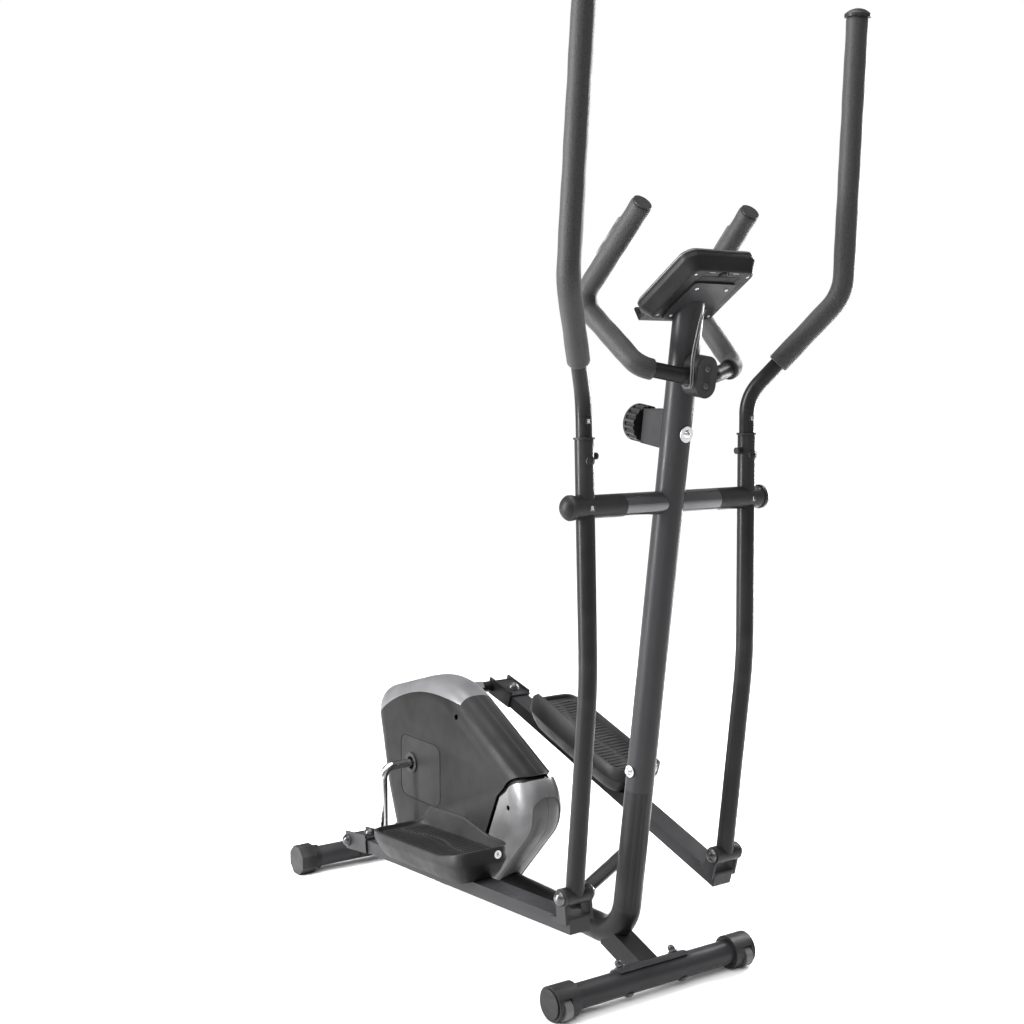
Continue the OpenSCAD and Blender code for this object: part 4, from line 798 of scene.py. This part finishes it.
face = rings_mesh("face", [con_loop(i * MM, z * MM) for i, z in (
    (0.4, 0.25), (0, 0.7), (0, 4.2), (0.6, 6.2), (2.2, 8.2), (4.6, 9.5), (7, 9.95), (9.5, 9.9), (10.3, 9.3),
    (11.2, 9.3))])
inside = rings_mesh("inside", [con_loop(i * MM, z * MM) for i, z in ((2.5, -1), (2.6, 5), (6, 7))])
window = rings_mesh("window", [con_loop(0, z * MM, 96 * MM, 62 * MM, 3 * MM, 4, 0, -22 * MM)
                               for z in (0, 20)])
cuts = [("DIFFERENCE", inside), ("DIFFERENCE", window)]
for x in (-34, 0, 34):
    hole = rings_mesh("hole", [[(x * MM + 7.3 * MM * math.cos(a), 48 * MM + 7.3 * MM * math.sin(a), z)
                                for a in (2 * math.pi * i / 40 for i in range(40))] for z in (-0.005, 0.03)])
    cuts.append(("DIFFERENCE", hole))
face = carve(face, cuts)
add_object("console_face", moved(face, CON), "shell", "frame", "black_plastic", "console_front")
# Satin trim line round the console's edge
path = con_loop(-0.15 * MM, 4.6 * MM)
loop = []
for k, p in enumerate(path):
    out = (path[(k + 1) % len(path)] - path[k - 1]).cross(Vector((0, 0, 1))).normalized()
    loop.append([p + out * 0.00035 * math.cos(a) + Vector((0, 0, 0.0009 * math.sin(a)))
                 for a in (2 * math.pi * i / 8 for i in range(8))])
add_object("console_trim", moved(rings_mesh("trim", loop, closed_loft=True), CON), "grey", "frame",
           "grey_plastic")

# The two pulse leads
def smooth_path(points, steps=8):
    points = [Vector(p) for p in points]
    out = []
    for i in range(len(points) - 1):
        a, b = points[max(i - 1, 0)], points[i]
        c, d = points[i + 1], points[min(i + 2, len(points) - 1)]
        for k in range(steps):
            t = k / steps
            out.append(0.5 * (2 * b + (c - a) * t + (2 * a - 5 * b + 4 * c - d) * t * t
                              + (3 * b - a - 3 * c + d) * t * t * t))
    return out + [points[-1]]


def lead(name, points, radius, mat, *covers):
    path = smooth_path(points)
    total = length_of(path)
    stations = [(total * k / 60, radius) for k in range(61)]
    return add_object(name, rings_mesh(name, sweep_rings(path, stations, 12)), mat, "frame", "lead", *covers)


wire = [(-35, -2, -14.5), (-34, -10, -19), (-32, -17, -16), (-30, -17, 0), (-28, -17, 28), (-21, -18, 60),
        (-15, -19, 84), (-10, -20, 101)]
wire = [Vector(p) * MM + CENTRE for p in wire]
lead("pulse_lead_right", wire, 0.0010, "lead", "pulse_wires")
lead("pulse_lead_left", [p + Vector((0.004, -0.0006, 0)) for p in wire], 0.0010, "lead", "pulse_wires")

# ---------------------------------------------------------------- dark heads of the clamp screws
for word, step in (("upper", 13), ("lower", -13)):
    on_mast = (Matrix.Translation((0, mast_y(CLAMP_ON + step * MM), CLAMP_ON + step * MM))
               @ Matrix.Rotation(LEAN, 4, "X") @ Matrix.Translation((0, -MAST_R - 2 * TUBE_R - 4 * MM, 0))
               @ Matrix.Rotation(math.radians(90), 4, "X"))
    head = rings_mesh("head", [[(r * MM * math.cos(a), r * MM * math.sin(a), z * MM) for a in
                                (2 * math.pi * i / 36 for i in range(36))] for r, z in (
        (5.25, 0.2), (5.25, 4.6), (5.0, 5.1), (4.5, 5.35))])
    socket = rings_mesh("socket", [[(2.5 * MM * math.cos(a), 2.5 * MM * math.sin(a), z * MM) for a in
                                    (math.pi * i / 3 for i in range(6))] for z in (5.2, 8)])
    head = carve(head, [("DIFFERENCE", socket)])
    add_object("clamp_screw_" + word, moved(head, on_mast), "dark_bolt", "frame", "zinc_steel")

# ---------------------------------------------------------------- floor, light and camera
def flat_sheet(name, size, z, mat):
    mesh = bpy.data.meshes.new(name)
    work = bmesh.new()
    bmesh.ops.create_grid(work, x_segments=2, y_segments=2, size=size)
    work.to_mesh(mesh)
    work.free()
    obj = bpy.data.objects.new(name, mesh)
    obj.location.z = z
    mesh.materials.append(mat)
    bpy.context.scene.collection.objects.link(obj)
    return obj


floor_mat = surface("pale_floor", (0.80, 0.80, 0.80), (0.83, 0.83, 0.83), 0.6, grain=30, bump=0.0,
                    round_edges=0.0)
flat_sheet("floor", 30.0, 0.0, floor_mat)

world = bpy.data.worlds.new("studio")
bpy.context.scene.world = world
world.use_nodes = True
sky = world.node_tree
background = sky.nodes["Background"]
background.inputs["Color"].default_value = (1.0, 1.0, 1.0, 1)
# The studio's back wall is seen white and lights the room less than that
seen = sky.nodes.new("ShaderNodeLightPath")
level = sky.nodes.new("ShaderNodeMapRange")
level.inputs["To Min"].default_value = 0.38
level.inputs["To Max"].default_value = 1.0
sky.links.new(seen.outputs["Is Camera Ray"], level.inputs["Value"])
sky.links.new(level.outputs["Result"], background.inputs["Strength"])
bpy.context.scene.view_settings.view_transform = "Standard"


def area(name, location, target, size, size_y, power):
    data = bpy.data.lights.new(name, "AREA")
    data.shape = "RECTANGLE"
    data.size, data.size_y = size, size_y
    data.energy = power
    obj = bpy.data.objects.new(name, data)
    obj.location = location
    obj.rotation_mode = "QUATERNION"
    obj.rotation_quaternion = (Vector(target) - Vector(location)).to_track_quat("-Z", "Y")
    bpy.context.scene.collection.objects.link(obj)
    return obj


area("key", (-3.2, 1.1, 1.6), (0, 0, 0.8), 0.5, 2.8, 380)
area("fill", (3.2, 0.3, 1.5), (0, 0, 0.8), 0.4, 2.6, 260)
area("over", (0.2, 0.6, 3.8), (0, 0, 0.4), 1.6, 1.6, 40)
sun = bpy.data.lights.new("daylight", "SUN")
sun.energy = 3.4
sun.angle = math.radians(70)
sun_object = bpy.data.objects.new("daylight", sun)
sun_object.rotation_euler = (math.radians(14), math.radians(-12), 0)
bpy.context.scene.collection.objects.link(sun_object)

camera = bpy.data.cameras.new("camera")
camera.sensor_width = 36.0
camera.lens = 52.82
camera.clip_end = 60
view = bpy.data.objects.new("camera", camera)
view.location = (-1.5878, -2.2114, 1.0209)
view.rotation_euler = (math.radians(84.89), 0, math.radians(-35.07))
bpy.context.scene.collection.objects.link(view)
bpy.context.scene.camera = view

bpy.context.view_layer.update()
